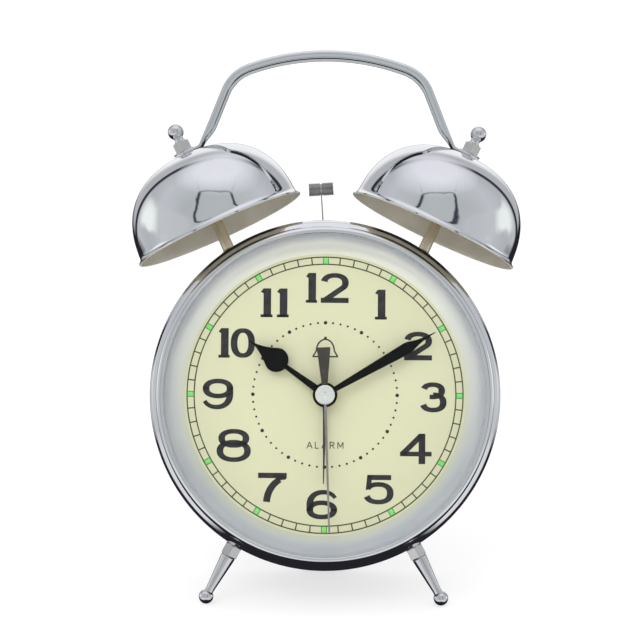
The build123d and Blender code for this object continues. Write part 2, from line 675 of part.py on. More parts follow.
def hour_hand():
    """Spade hand: a tapered arm, a round disc, and a hollow-sided point."""
    disc_at = 18.0
    disc_r = 3.7
    tip = 28.3
    cusp = 22.4
    spade = tapered(2.4, 1.4, 0, disc_at) + Pos(0, disc_at) * Circle(disc_r)
    edge = disc_r * 0.96
    foot = disc_at + disc_r * 0.28
    sides = [
        ThreePointArc((-edge, foot), (-1.9, cusp - 0.2), (0, tip)),
        ThreePointArc((0, tip), (1.9, cusp - 0.2), (edge, foot)),
        Line((edge, foot), (-edge, foot)),
    ]
    return hand(spade + make_face(sides), HOUR_ANGLE, 3.7, HOUR_TUBE_R[1] + 0.01, HOUR_HAND_Y)


def minute_hand():
    widest = 28.6
    blade = tapered(1.3, 3.6, 0, widest) + tapered(3.6, 0.25, widest, 38.1)
    return hand(blade, MINUTE_ANGLE, 3.2, CANNON_R[1] + 0.01, MINUTE_HAND_Y)


def alarm_hand():
    return hand(tapered(1.3, 0.3, 0, 26.7), ALARM_ANGLE, 2.7, ALARM_TUBE_R[1] + 0.01, ALARM_HAND_Y)


def second_hand():
    needle = tapered(0.9, 0.5, 0, 40.0) + tapered(4.15, 0.9, -14.2, 0)
    return hand(needle, SECOND_ANGLE, 1.6, SECOND_ARBOR_R + 0.01, SECOND_HAND_Y)


def second_hand_boss():
    """Turned silver cap in front of the second hand, with a centre dimple."""
    rear_y = SECOND_HAND_Y
    front_y = rear_y - 0.7
    outline = [(0, rear_y), (2.92, rear_y), (2.92, front_y + 0.35), (2.6, front_y)]
    outline += [(0.7, front_y), (0.7, front_y + 0.25), (0, front_y + 0.25)]
    cap = ring_of(outline)
    return cap - disc(0, 0, SECOND_ARBOR_R + 0.01, rear_y - 0.21, rear_y + 1)


# ================================================================== rear cover and batteries
def stub_foot():
    """Block low on the rear cover; its underside lies flat on what the clock stands on."""
    width, depth = STUB_FOOT
    foot = block(-width / 2, width / 2, COVER_Y - 0.5, COVER_Y + depth, STUB_FOOT_EDGE_Z, STUB_FOOT_TOP_Z)
    foot = fillet(foot.edges().filter_by(Axis.Z), 1.5)
    foot = fillet(foot.faces().sort_by(Axis.Z)[-1].edges(), 0.8)
    ground = Pos(0, 0, -5) * Box(3 * width, 3 * width, 10)
    return foot - Pos(0, COVER_Y, STUB_FOOT_EDGE_Z) * Rot(LEAN, 0, 0) * ground


def rear_cover():
    """Moulded rear cover: a disc, its locating ring, the battery bay and the stub foot."""
    cover = disc(0, 0, CASE_R, CASE_REAR_Y + GAP, COVER_Y)
    cover += tube(0, 0, *COVER_RING, CASE_REAR_Y - COVER_RING_DEPTH, CASE_REAR_Y + GAP)
    low, high = BAY_Z
    outer_x = BAY_X + BAY_WALL
    cover += block(-outer_x, outer_x, BAY_FLOOR_Y - BAY_FLOOR, COVER_Y, low - BAY_WALL, high + BAY_WALL)
    cover -= block(-BAY_X, BAY_X, BAY_FLOOR_Y, COVER_Y + 1, low, high)
    cover += stub_foot()
    for angle in COVER_SCREW_ANGLES:
        x = COVER_SCREW_RADIUS * cos(radians(angle))
        z = COVER_SCREW_RADIUS * sin(radians(angle))
        cover -= disc(x, z, 2.75, CASE_REAR_Y - COVER_RING_DEPTH - 1, CASE_REAR_Y)
        cover -= disc(x, z, COVER_SCREW_R + GAP, CASE_REAR_Y - 1, COVER_Y + 6)
        cover -= disc(x, z, 2.3 + GAP, COVER_Y - 0.9, COVER_Y + 6)
    for at in (TIME_SET_AT, ALARM_SET_AT):
        cover -= disc(*at, KNOB_SHAFT_R + 0.4, CASE_REAR_Y - 1, COVER_Y + 1)
    switch_x, switch_z = SWITCH_AT
    slot_end = SWITCH_TRAVEL + 2.2
    slot_x = (switch_x - 2.2, switch_x + slot_end)
    cover -= block(*slot_x, CASE_REAR_Y - 1, COVER_Y + 1, switch_z - 1.3, switch_z + 1.3)
    for side in (-1, 1):
        x = side * 18.0
        cover -= block(x - 3.3, x + 3.3, COVER_Y - DOOR_THICK - 0.1, COVER_Y + 1, low - 2.6, low + 1)
    return cover


def cover_screws():
    return group(
        screw(
            COVER_SCREW_RADIUS * cos(radians(angle)),
            COVER_SCREW_RADIUS * sin(radians(angle)),
            COVER_SCREW_R,
            2.3,
            CASE_REAR_Y - 9.0,
            COVER_Y - 0.9,
        )
        for angle in COVER_SCREW_ANGLES
    )


DOOR_PIVOT = (COVER_Y - DOOR_THICK / 2, BAY_Z[0] - 1.3)


def battery_door():
    """Lid of the battery bay; it swings on two lugs at its lower edge and snaps shut above."""
    low, high = BAY_Z
    clear = 0.3
    pivot_y, pivot_z = DOOR_PIVOT
    door = block(clear - BAY_X, BAY_X - clear, COVER_Y - DOOR_THICK, COVER_Y, low + clear, high - clear)
    for side in (-1, 1):
        x = side * 18.0
        door += block(x - 3.0, x + 3.0, COVER_Y - DOOR_THICK, COVER_Y, pivot_z, low + clear + 0.5)
        door += Pos(x, pivot_y, pivot_z) * Rot(0, 90, 0) * Cylinder(DOOR_THICK / 2, 6.0)
    for step in range(5):
        z = high - 5.0 + 0.9 * step
        door -= block(-6.0, 6.0, COVER_Y - 0.3, COVER_Y + 1, z, z + 0.4)
    return door


def cells():
    nub_r, nub = CELL_NUB
    pieces = []
    for z, way in zip(CELL_Z, (1, -1)):
        can = Pos(0, CELL_Y, z) * Rot(0, 90, 0) * Cylinder(CELL_R, CELL_LENGTH)
        tip = Pos(way * (CELL_LENGTH + nub) / 2, CELL_Y, z) * Rot(0, 90, 0) * Cylinder(nub_r, nub)
        pieces.append(can + tip)
    return group(pieces)


def contact_plates():
    """Flat contacts at the plus ends, and the backing plates of the springs."""
    pieces = []
    for z, way in zip(CELL_Z, (1, -1)):
        plus_x = way * (CELL_LENGTH / 2 + CELL_NUB[1])
        x0, x1 = sorted((plus_x + way * 0.5, way * (BAY_X - 0.1)))
        pieces.append(block(x0, x1, CELL_Y - 4.5, CELL_Y + 4.5, z - 5.0, z + 5.0))
        x0, x1 = sorted((-way * (BAY_X - 0.5), -way * (BAY_X - 0.1)))
        pieces.append(block(x0, x1, CELL_Y - 4.5, CELL_Y + 4.5, z - 5.0, z + 5.0))
    return group(pieces)


def contact_springs():
    """Coil springs that press on the minus ends."""
    length = BAY_X - 0.9 - CELL_LENGTH / 2 - 0.8
    pieces = []
    for z, way in zip(CELL_Z, (1, -1)):
        path = Helix(pitch=length / 3, height=length, radius=3.2)
        wire = sweep(Plane(origin=path @ 0, z_dir=path % 0) * Circle(0.3), path=path)
        start = -way * (CELL_LENGTH / 2 + CELL_NUB[1] / 2 + 0.4)
        pieces.append(Pos(start, CELL_Y, z) * Rot(0, -way * 90, 0) * wire)
    return group(pieces)


def alarm_switch():
    """Slider of the on/off switch: a ribbed thumb piece, a stem, and a flange that keeps it in."""
    x, z = SWITCH_AT
    slider = block(x - 3.4, x + 3.4, COVER_Y + 0.15, COVER_Y + 2.2, z - 2.4, z + 2.4)
    for step in range(4):
        rib_x = x - 1.7 + step * 1.0
        slider -= block(rib_x, rib_x + 0.4, COVER_Y + 1.8, COVER_Y + 3, z - 3, z + 3)
    slider += block(x - 1.9, x + 1.9, CASE_REAR_Y - 0.3, COVER_Y + 0.3, z - 1.0, z + 1.0)
    return slider + block(x - 2.8, x + 2.8, CASE_REAR_Y - 0.9, CASE_REAR_Y - 0.2, z - 2.4, z + 2.4)


def time_set_knob():
    return setting_knob(TIME_SET_AT)


def alarm_set_knob():
    return setting_knob(ALARM_SET_AT)


# ================================================================== striking works
HAMMER_PIN_R = 0.8
HAMMER_ARM_Y = (-0.6, 0.2)


def strike_frame():
    """Steel plate with the pins that the hammer and the strike wheel turn on."""
    front_y, rear_y = PLATE_Y
    plate = block(*PLATE_X, front_y, rear_y, *PLATE_Z)
    plate = fillet(plate.edges().filter_by(Axis.Y), 2.0)
    plate += disc(*HAMMER_AT, HAMMER_PIN_R, -1.9, front_y)
    plate += disc(*HAMMER_AT, 1.6, 1.1, front_y)
    plate += disc(*STRIKE_AT, 0.9, STRIKE_REAR_Y - 1.9, front_y)
    plate += disc(*STRIKE_AT, 1.6, STRIKE_REAR_Y + 0.1, front_y)
    plate -= disc(*MOTOR_AT, 2.9, 0, 6)
    for x, z in PLATE_POSTS:
        plate -= disc(x, z, SCREW_R + GAP, 0, 6)
    for side in (-1, 1):
        plate -= disc(MOTOR_AT[0], MOTOR_AT[1] + side * MOTOR_SCREW_REACH, SCREW_R + GAP, 0, 6)
    return plate


def strike_screws():
    """Four screws that hold the plate to the carrier, and two that hold the motor to the plate."""
    front_y, rear_y = PLATE_Y
    pieces = [screw(x, z, SCREW_R, SCREW_HEAD_R, front_y - 5.0, rear_y) for x, z in PLATE_POSTS]
    for side in (-1, 1):
        x = MOTOR_AT[0]
        z = MOTOR_AT[1] + side * MOTOR_SCREW_REACH
        pieces.append(disc(x, z, SCREW_R, front_y, rear_y + 2.0) + disc(x, z, 1.3, front_y - 0.7, front_y))
    return group(pieces)


def strike_motor():
    """Small direct-current motor: a drawn can, its rear cap, and a blind bearing for the shaft."""
    front_y = PLATE_Y[1] + GAP
    rear_y = front_y + MOTOR_LENGTH
    can = disc(*MOTOR_AT, MOTOR_R, front_y, rear_y - 2.0)
    can = fillet(can.edges().group_by(Axis.Y)[0], 0.6)
    can += disc(*MOTOR_AT, MOTOR_R - 0.4, rear_y - 2.0, rear_y)
    for side in (-1, 1):
        x, z = MOTOR_AT
        can += block(x + side * 4.0 - 0.3, x + side * 4.0 + 0.3, rear_y, rear_y + 1.3, z - 1.0, z + 1.0)
        can -= disc(x, z + side * MOTOR_SCREW_REACH, SCREW_R + GAP, front_y - 1, front_y + 2.2)
    return can - disc(*MOTOR_AT, MOTOR_SHAFT_R + RUN, front_y - 1, front_y + 4.0)


def motor_pinion():
    pinion = gear(MOTOR_AT, MOTOR_TEETH, STRIKE_MODULE, MOTOR_PHASE, STRIKE_REAR_Y, 1.9)
    return pinion + disc(*MOTOR_AT, MOTOR_SHAFT_R, STRIKE_REAR_Y - 2.2, PLATE_Y[1] + 3.8)


def crank_pin_at():
    """The crank pin stands where the leaning hammer's fork is at rest."""
    reach = HAMMER_PIVOT_Z - STRIKE_Z
    offset = reach * sin(radians(HAMMER_TILT))
    return (offset, STRIKE_Z + sqrt(CRANK_R**2 - offset**2))


def strike_wheel():
    """Reduction wheel with the crank pin that shakes the hammer's fork."""
    wheel = gear(STRIKE_AT, STRIKE_TEETH, STRIKE_MODULE, 0.0, STRIKE_REAR_Y, 1.5)
    wheel += disc(*crank_pin_at(), CRANK_PIN_R, HAMMER_ARM_Y[1] + 0.3, STRIKE_REAR_Y - 1.4)
    return wheel - disc(*STRIKE_AT, 0.9 + RUN, STRIKE_REAR_Y - 1.6, STRIKE_REAR_Y + 1)


def leaning(piece):
    """Lean a hammer piece, drawn upright over the pivot, to the side where it rests."""
    pivot = Pos(0, 0, HAMMER_PIVOT_Z)
    return pivot * Rot(0, -HAMMER_TILT, 0) * Pos(0, 0, -HAMMER_PIVOT_Z) * piece


def hammer_arm():
    """Lever on the pivot: a hub, a fork below it for the crank pin, and a lug for the wire."""
    front_y, rear_y = HAMMER_ARM_Y
    fork_z = STRIKE_Z - CRANK_R - 1.2
    fork = block(-1.9, 1.9, front_y, rear_y, fork_z, HAMMER_PIVOT_Z)
    fork -= block(-0.75, 0.75, front_y - 1, rear_y + 1, fork_z - 1, STRIKE_Z + CRANK_R + 1.2)
    lug = block(-1.1, 1.1, front_y - 0.7, rear_y + 0.5, HAMMER_PIVOT_Z, HAMMER_PIVOT_Z + 5.0)
    arm = fork + lug + disc(*HAMMER_AT, 2.2, -1.7, 1.0)
    arm -= disc(*HAMMER_AT, HAMMER_PIN_R + RUN, -3, 3)
    arm -= Pos(0, HAMMER_WIRE_Y, HAMMER_PIVOT_Z + 4) * Cylinder(HAMMER_WIRE_R + 0.01, 2.1)
    return leaning(arm)


HAMMER_WIRE_Y = -0.2


def hammer_wire():
    low = HAMMER_PIVOT_Z + 3.0
    high = HAMMER_HEAD_Z - HAMMER_HEAD_R + 0.6
    return leaning(Pos(0, HAMMER_WIRE_Y, (low + high) / 2) * Cylinder(HAMMER_WIRE_R, high - low))


def hammer_head():
    """Weight on the wire: two short cylinders on one axis, with a waist between them."""
    half = HAMMER_HEAD_LENGTH / 2
    waist = 0.35
    profile = [
        (0, -half),
        (HAMMER_HEAD_R - 0.2, -half),
        (HAMMER_HEAD_R, 0.2 - half),
        (HAMMER_HEAD_R, -waist),
        (HAMMER_HEAD_R - 0.4, -waist),
        (HAMMER_HEAD_R - 0.4, waist),
        (HAMMER_HEAD_R, waist),
        (HAMMER_HEAD_R, half - 0.2),
        (HAMMER_HEAD_R - 0.2, half),
        (0, half),
    ]
    head = Pos(0, HAMMER_WIRE_Y, HAMMER_HEAD_Z) * Rot(0, 90, 0) * turned(profile)
    low = HAMMER_HEAD_Z - HAMMER_HEAD_R - 1
    head -= Pos(0, HAMMER_WIRE_Y, low + 0.8) * Cylinder(HAMMER_WIRE_R + 0.01, 1.7)
    return leaning(head)


SPRING_GAP = 2.9


def hammer_spring():
    """Hairpin of spring wire on the plate; its legs stop the hammer's lug at each side."""
    wire_r = 0.25
    y = -0.2
    pieces = []
    root_z = HAMMER_PIVOT_Z + 4.4
    for side in (-1, 1):
        leg = Pos(side * SPRING_GAP, y, root_z) * Cylinder(wire_r, 3.0)
        tail = Rot(90, 0, 0) * Cylinder(wire_r, PLATE_Y[0] - y)
        leg += Pos(side * SPRING_GAP, (y + PLATE_Y[0]) / 2, root_z + 1.5 - wire_r) * tail
        pieces.append(leg)
    return group(pieces)


# ================================================================== bells, posts and handle
def bell_curve(radius, height, steps=9):
    """Half of a full-bodied dome: a superellipse from the open side up to the crown."""
    points = []
    for step in range(steps):
        turn = radians(90 * step / (steps - 1))
        u = radius * cos(turn) ** (2 / BELL_POWER)
        points.append((u, height * sin(turn) ** (2 / BELL_POWER)))
    return points


def bell():
    """One bell about its own axis, its lip at height 0."""
    hole = POST_STUD_R + 0.1
    outer = bell_curve(BELL_WALL_R, BELL_HEIGHT)
    inner = bell_curve(BELL_WALL_R - BELL_SHEET, BELL_HEIGHT - BELL_SHEET)
    outer = [point for point in outer if point[1] > BELL_LIP_HEIGHT and point[0] > hole]
    inner = [point for point in inner if point[1] > BELL_LIP_HEIGHT and point[0] > hole]
    lip_out = (BELL_WALL_R, BELL_LIP_HEIGHT)
    lip_in = (BELL_WALL_R - BELL_SHEET, BELL_LIP_HEIGHT - 0.2)
    crown_out = (hole, BELL_HEIGHT)
    crown_in = (hole, BELL_HEIGHT - BELL_SHEET)
    up = (0, 1)
    outline = [
        Spline(lip_out, *outer, crown_out, tangents=(up, (-1, 0))),
        Line(crown_out, crown_in),
        Spline(crown_in, *reversed(inner), lip_in, tangents=((1, 0), (0, -1))),
        Line(lip_in, (BELL_LIP_R - 1.0, 0)),
        Line((BELL_LIP_R - 1.0, 0), (BELL_LIP_R, 0)),
        Line((BELL_LIP_R, 0), (BELL_LIP_R, 0.5)),
        Line((BELL_LIP_R, 0.5), lip_out),
    ]
    return revolve(Plane.XZ * make_face(outline), axis=Axis.Z)


def bell_post():
    """Stud that stands on the case, with a shoulder under the bell's crown."""
    shoulder = BELL_HEIGHT - BELL_SHEET - 0.1
    return turned(
        [
            (0, POST_TAIL),
            (POST_STUD_R, POST_TAIL),
            (POST_STUD_R, POST_BASE),
            (POST_R, POST_BASE),
            (POST_R, shoulder),
            (POST_STUD_R, shoulder),
            (POST_STUD_R, POST_TOP),
            (0, POST_TOP),
        ]
    )


TAB_TOP = BELL_HEIGHT + HANDLE_SHEET + 0.02
WASHER_TOP = TAB_TOP + WASHER[1]
NUT_TOP = WASHER_TOP + BELL_NUT[1]


def bell_washer():
    return Pos(0, 0, TAB_TOP) * extrude(Circle(WASHER[0]) - Circle(POST_STUD_R + GAP), amount=WASHER[1])


def bell_nut():
    return hexagon(BELL_NUT[0], POST_STUD_R + GAP, WASHER_TOP, NUT_TOP)


def finial():
    """Ball nut that closes the top of the post."""
    neck = Pos(0, 0, NUT_TOP) * extrude(Circle(FINIAL_NECK_R), amount=FINIAL_HEIGHT - NUT_TOP)
    ball = neck + Pos(0, 0, FINIAL_HEIGHT) * Sphere(FINIAL_R)
    bore = extrude(Circle(POST_STUD_R + GAP), amount=POST_TOP - NUT_TOP + 0.2)
    return ball - Pos(0, 0, NUT_TOP) * bore


def both_bells(piece):
    return group([bell_frame(-1) * piece, bell_frame(1) * piece])


def handle_path():
    """Right half of the handle's outer face, from the middle of the top to the clamped tab."""
    slope = asin(HANDLE_TOP_HALF / HANDLE_TOP_R)
    steep = radians(HANDLE_LEG_SLOPE)
    top = (0, HANDLE_TOP_Z)
    shoulder = (HANDLE_TOP_HALF, HANDLE_TOP_Z - HANDLE_TOP_R * (1 - cos(slope)))
    half = slope / 2
    top_mid = (HANDLE_TOP_R * sin(half), HANDLE_TOP_Z - HANDLE_TOP_R * (1 - cos(half)))
    middle = (slope + steep) / 2

    def on_corner(turn):
        x = shoulder[0] + HANDLE_CORNER_R * (sin(turn) - sin(slope))
        return (x, shoulder[1] - HANDLE_CORNER_R * (cos(slope) - cos(turn)))

    knee = on_corner(steep)
    tilt = radians(BELL_TILT)
    post = (BELL_X + TAB_TOP * sin(tilt), BELL_Z + TAB_TOP * cos(tilt))
    # where the leg's line meets the tab's line
    leg = (cos(steep), -sin(steep))
    tab = (cos(tilt), -sin(tilt))
    across = leg[0] * tab[1] - leg[1] * tab[0]
    run = ((post[0] - knee[0]) * tab[1] - (post[1] - knee[1]) * tab[0]) / across
    corner = (knee[0] + run * leg[0], knee[1] + run * leg[1])
    end = (post[0] + TAB_BEYOND * tab[0], post[1] + TAB_BEYOND * tab[1])
    back = HANDLE_BEND_R * ((steep - tilt) / 2)
    bend_in = (corner[0] - back * leg[0], corner[1] - back * leg[1])
    bend_out = (corner[0] + back * tab[0], corner[1] + back * tab[1])
    arch = [ThreePointArc(top, top_mid, shoulder), ThreePointArc(shoulder, on_corner(middle), knee)]
    arch.append(Line(knee, bend_in))
    foot = [TangentArc(bend_in, bend_out, tangent=leg), Line(bend_out, end)]
    return arch, foot


def strip(edges, depth, width, inset=0.0):
    """A strip of the given depth under the path, width wide across it, inset below the face."""
    path = Plane.XZ * Wire(edges)
    start = path @ 0
    frame = Plane(origin=start, x_dir=(0, 1, 0), z_dir=path % 0)
    down = frame.y_dir.dot(Vector(0, 0, -1))
    shift = (inset + depth / 2) * (1 if down > 0 else -1)
    return sweep(frame * Pos(0, shift) * Rectangle(width, depth), path=path)


def handle():
    """Pressed channel bent into an arch; its flat ends are clamped on top of the bells."""
    arch, foot = handle_path()
    web = strip(arch, HANDLE_FLANGE, HANDLE_WIDTH)
    web -= strip(arch, HANDLE_FLANGE, HANDLE_WIDTH - 2 * HANDLE_SHEET, HANDLE_SHEET)
    half = web + strip(foot, HANDLE_SHEET, HANDLE_WIDTH)
    half -= bell_frame(1) * Pos(0, 0, TAB_TOP) * Cylinder(POST_STUD_R + 0.1, 6)
    return half + mirror(half, about=Plane.YZ)


def post_nut():
    top = POST_BASE - 2.2
    return hexagon(CASE_NUT[0], POST_STUD_R + GAP, top - CASE_NUT[1], top)


# ================================================================== feet
def foot(side):
    """Turned foot: a stud through the case, a tapered leg and a ball."""
    root, length = foot_frame(side)
    top_r, low_r = FOOT_LEG_R
    leg_top = COLLAR[1] + 0.35
    leg = turned(
        [
            (0, -4.6),
            (FOOT_STUD_R, -4.6),
            (FOOT_STUD_R, leg_top),
            (top_r - 0.3, leg_top),
            (top_r, leg_top + 0.4),
            (low_r, length - 1.2),
            (low_r, length),
            (0, length),
        ]
    )
    return root * (leg + Pos(0, 0, length) * Sphere(FOOT_BALL_R))


def foot_collars():
    pieces = []
    for side in (-1, 1):
        root, length = foot_frame(side)
        pieces.append(root * hexagon(COLLAR[0], FOOT_STUD_R + GAP, 0.3, 0.3 + COLLAR[1]))
    return group(pieces)


def case_nuts():
    """Nuts inside the case, on the two bell posts and the two feet."""
    pieces = [bell_frame(side) * post_nut() for side in (-1, 1)]
    for side in (-1, 1):
        root, length = foot_frame(side)
        pieces.append(root * hexagon(CASE_NUT[0], FOOT_STUD_R + GAP, -1.2 - CASE_NUT[1], -1.2))
    return group(pieces)


# ================================================================== the whole clock
def build_clock():
    """Every sub-part, in the clock's own frame."""
    return {
        "case_shell": case_shell(),
        "bezel_ring": bezel_ring(),
        "lens": lens(),
        "lens_gasket": lens_gasket(),
        "reflector_ring": reflector_ring(),
        "dial_plate": dial_plate(),
        "dial_nut": dial_nut(),
        "dial_carrier": dial_carrier(),
        "movement_front": housing_front(),
        "movement_rear": housing_rear(),
        "movement_screws": movement_screws(),
        "circuit_board": circuit_board(),
        "stator": stator(),
        "drive_coil": drive_coil(),
        "rotor": rotor(),
        "fifth_wheel": fifth_wheel(),
        "seconds_wheel": seconds_wheel(),
        "third_wheel": third_wheel(),
        "centre_wheel": centre_wheel(),
        "cannon_tube": cannon_tube(),
        "motion_wheel": motion_wheel(),
        "hour_wheel": hour_wheel(),
        "alarm_wheel": alarm_wheel(),
        "alarm_contact": alarm_contact(),
        "time_set_pinion": time_set_pinion(),
        "alarm_set_pinion": alarm_set_pinion(),
        "hour_hand": hour_hand(),
        "minute_hand": minute_hand(),
        "alarm_hand": alarm_hand(),
        "second_hand": second_hand(),
        "second_hand_boss": second_hand_boss(),
        "rear_cover": rear_cover(),
        "cover_screws": cover_screws(),
        "battery_door": battery_door(),
        "cells": cells(),
        "contact_plates": contact_plates(),
        "contact_springs": contact_springs(),
        "alarm_switch": alarm_switch(),
        "time_set_knob": time_set_knob(),
        "alarm_set_knob": alarm_set_knob(),
        "strike_frame": strike_frame(),
        "strike_screws": strike_screws(),
        "strike_motor": strike_motor(),
        "motor_pinion": motor_pinion(),
        "strike_wheel": strike_wheel(),
        "hammer_arm": hammer_arm(),
        "hammer_wire": hammer_wire(),
        "hammer_head": hammer_head(),
        "hammer_spring": hammer_spring(),
        "bell_left": bell_frame(-1) * bell(),
        "bell_right": bell_frame(1) * bell(),
        "bell_posts": both_bells(bell_post()),
        "bell_washers": both_bells(bell_washer()),
        "bell_nuts": both_bells(bell_nut()),
        "finials": both_bells(finial()),
        "handle": handle(),
        "case_nuts": case_nuts(),
        "foot_left": foot(-1),
        "foot_right": foot(1),
        "foot_collars": foot_collars(),
    }


def standing(pieces):
    """Lean the clock back and stand it at the middle of its base."""
    leaned = {name: Rot(-LEAN, 0, 0) * piece for name, piece in pieces.items()}
    boxes = [piece.bounding_box(optimal=True) for piece in leaned.values()]
    low = [min(getattr(box.min, axis) for box in boxes) for axis in "XYZ"]
    high = [max(getattr(box.max, axis) for box in boxes) for axis in "XYZ"]
    shift = Pos(-(low[0] + high[0]) / 2, -(low[1] + high[1]) / 2, -low[2])
    return {name: group([shift * piece]) for name, piece in leaned.items()}, shift


def main():
    os.makedirs("parts", exist_ok=True)
    pieces, shift = standing(build_clock())
    for name, piece in pieces.items():
        export_step(piece, f"parts/{name}.step")
    print("lean", round(LEAN, 4), "shift", shift.position, "nodes", len(pieces))


if __name__ == "__main__":
    main()
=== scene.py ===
import json
import math

import bmesh
import bpy
from mathutils import Matrix, Vector


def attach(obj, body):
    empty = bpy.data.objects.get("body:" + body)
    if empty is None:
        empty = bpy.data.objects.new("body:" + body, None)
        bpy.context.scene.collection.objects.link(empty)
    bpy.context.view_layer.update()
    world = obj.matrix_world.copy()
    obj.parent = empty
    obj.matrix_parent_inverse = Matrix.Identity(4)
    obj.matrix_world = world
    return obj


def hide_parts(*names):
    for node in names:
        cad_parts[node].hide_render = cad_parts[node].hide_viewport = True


# The looks of a twin-bell alarm clock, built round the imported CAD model. Shapes are drawn in the
# clock's own frame in millimetres: the dial axis is Y, the face looks to -Y, Z is up, and the
# origin is the centre of the case. CLOCK carries that frame into the model's frame.

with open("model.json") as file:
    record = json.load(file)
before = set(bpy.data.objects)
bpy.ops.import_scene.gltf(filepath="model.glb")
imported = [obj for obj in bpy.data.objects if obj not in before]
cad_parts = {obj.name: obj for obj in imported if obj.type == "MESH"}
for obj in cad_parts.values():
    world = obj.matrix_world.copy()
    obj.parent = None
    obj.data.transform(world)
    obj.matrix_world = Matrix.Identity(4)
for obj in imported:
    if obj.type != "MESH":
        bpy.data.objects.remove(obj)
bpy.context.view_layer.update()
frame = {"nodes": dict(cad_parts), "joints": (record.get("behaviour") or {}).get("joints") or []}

MM = 0.001
DIAL_JOINT = next(j for j in frame["joints"] if j["name"] == "minute_spin")
DIAL_AXIS = Vector(DIAL_JOINT["axis"]).normalized()
CLOCK_X = Vector((1, 0, 0))
CLOCK = Matrix.Identity(4)
CLOCK.col[0] = CLOCK_X.to_4d()
CLOCK.col[1] = DIAL_AXIS.to_4d()
CLOCK.col[2] = CLOCK_X.cross(DIAL_AXIS).to_4d()
for column in range(3):
    CLOCK[3][column] = 0.0
CLOCK.translation = Vector(DIAL_JOINT["pos_m"])

# ------------------------------------------------------------------ camera
CAMERA_BACK = 0.560
LENS_MM, SENSOR_MM, CLIP_START = 102.6, 36.0, 0.01
# How far the clock's centre sits from the middle of the frame, as tangents of the view's angles.
RIGHT_OF_MIDDLE, BELOW_MIDDLE = 5.0 / 1824.0, 74.8 / 1824.0
ROLL = math.radians(0.45)


def aimed_camera():
    """Camera on the dial axis, turned so that the clock's centre sits low in the frame."""
    right, up, ahead = Vector((1, 0, 0)), Vector((0, 0, 1)), Vector((0, 1, 0))
    right, up = right * math.cos(ROLL) + up * math.sin(ROLL), up * math.cos(ROLL) - right * math.sin(ROLL)
    look = ahead
    for _ in range(3):
        look = (ahead - right * RIGHT_OF_MIDDLE + up * BELOW_MIDDLE).normalized()
        right = look.cross(up).normalized()
        up = right.cross(look)
    turn = Matrix.Identity(4)
    for row in range(3):
        turn[row][0], turn[row][1], turn[row][2] = right[row], up[row], -look[row]
    data = bpy.data.cameras.new("camera")
    data.lens = LENS_MM
    data.sensor_width = SENSOR_MM
    data.clip_start = CLIP_START
    camera = bpy.data.objects.new("camera", data)
    bpy.context.scene.collection.objects.link(camera)
    camera.matrix_world = CLOCK @ Matrix.Translation((0, -CAMERA_BACK, 0)) @ turn
    return camera


bpy.context.scene.camera = aimed_camera()


# ------------------------------------------------------------------ material helpers
OWN = "own_place"


class Nodes:
    """A short way to write a node tree. A value is a socket, a number or a colour."""

    def __init__(self, tree):
        self.tree = tree
        tree.nodes.clear()

    def feed(self, socket, value):
        if isinstance(value, bpy.types.NodeSocket):
            self.tree.links.new(value, socket)
        else:
            socket.default_value = value

    def add(self, kind, inputs=None, **settings):
        node = self.tree.nodes.new("ShaderNode" + kind)
        for name, value in settings.items():
            setattr(node, name, value)
        for name, value in (inputs or {}).items():
            self.feed(node.inputs[name], value)
        return node

    def ramp(self, value, stops):
        node = self.add("ValToRGB", {"Fac": value})
        while len(node.color_ramp.elements) < len(stops):
            node.color_ramp.elements.new(0.5)
        for element, (at, colour) in zip(node.color_ramp.elements, stops):
            element.position = at
            element.color = (*colour, 1.0)
        return node.outputs["Color"]

    def blend(self, share, below, above):
        """Mixes two colours by share."""
        node = self.add("Mix", data_type="RGBA")
        colours = [socket for socket in node.inputs if socket.type == "RGBA"]
        for socket, value in zip([node.inputs[0], *colours], (share, below, above)):
            self.feed(socket, (*value, 1.0) if isinstance(value, tuple) else value)
        return [socket for socket in node.outputs if socket.type == "RGBA"][0]

    def calculate(self, operation, *values):
        return self.add("Math", dict(enumerate(values)), operation=operation).outputs["Value"]

    def plus(self, *values):
        return self.calculate("ADD", *values)

    def minus(self, *values):
        return self.calculate("SUBTRACT", *values)

    def times(self, *values):
        return self.calculate("MULTIPLY", *values)

    def over(self, *values):
        return self.calculate("DIVIDE", *values)

    def larger(self, *values):
        return self.calculate("MAXIMUM", *values)

    def size(self, value):
        return self.calculate("ABSOLUTE", value)

    def fade(self, value, low, high, start=0.0, end=1.0):
        """Maps low..high to start..end, and holds outside them."""
        ends = {"From Min": low, "From Max": high, "To Min": start, "To Max": end}
        return self.add("MapRange", {"Value": value, **ends}).outputs["Result"]

    def noise(self, place, scale, detail, roughness=0.5):
        inputs = {"Vector": place, "Scale": scale, "Detail": detail, "Roughness": roughness}
        return self.add("TexNoise", inputs).outputs["Fac"]

    def bump(self, height, strength, distance=0.0001):
        inputs = {"Height": height, "Strength": strength, "Distance": distance}
        return self.add("Bump", inputs).outputs["Normal"]

    def flat(self, x, y):
        return self.add("CombineXYZ", {"X": x, "Y": y}).outputs["Vector"]

    def own_frame(self):
        """Of the frame a piece was drawn in: a point's place, its parts, and its distance from Z."""
        place = self.add("Attribute", attribute_name=OWN).outputs["Vector"]
        parts = self.add("SeparateXYZ", {"Vector": place}).outputs
        across = self.flat(parts["X"], parts["Y"])
        return place, parts, self.add("VectorMath", {0: across}, operation="LENGTH").outputs["Value"]

    def principled(self, inputs):
        return self.add("BsdfPrincipled", inputs).outputs["BSDF"]


def material(name, build):
    made = bpy.data.materials.new(name)
    made.use_nodes = True
    nodes = Nodes(made.node_tree)
    nodes.add("OutputMaterial", {"Surface": build(nodes)})
    return made


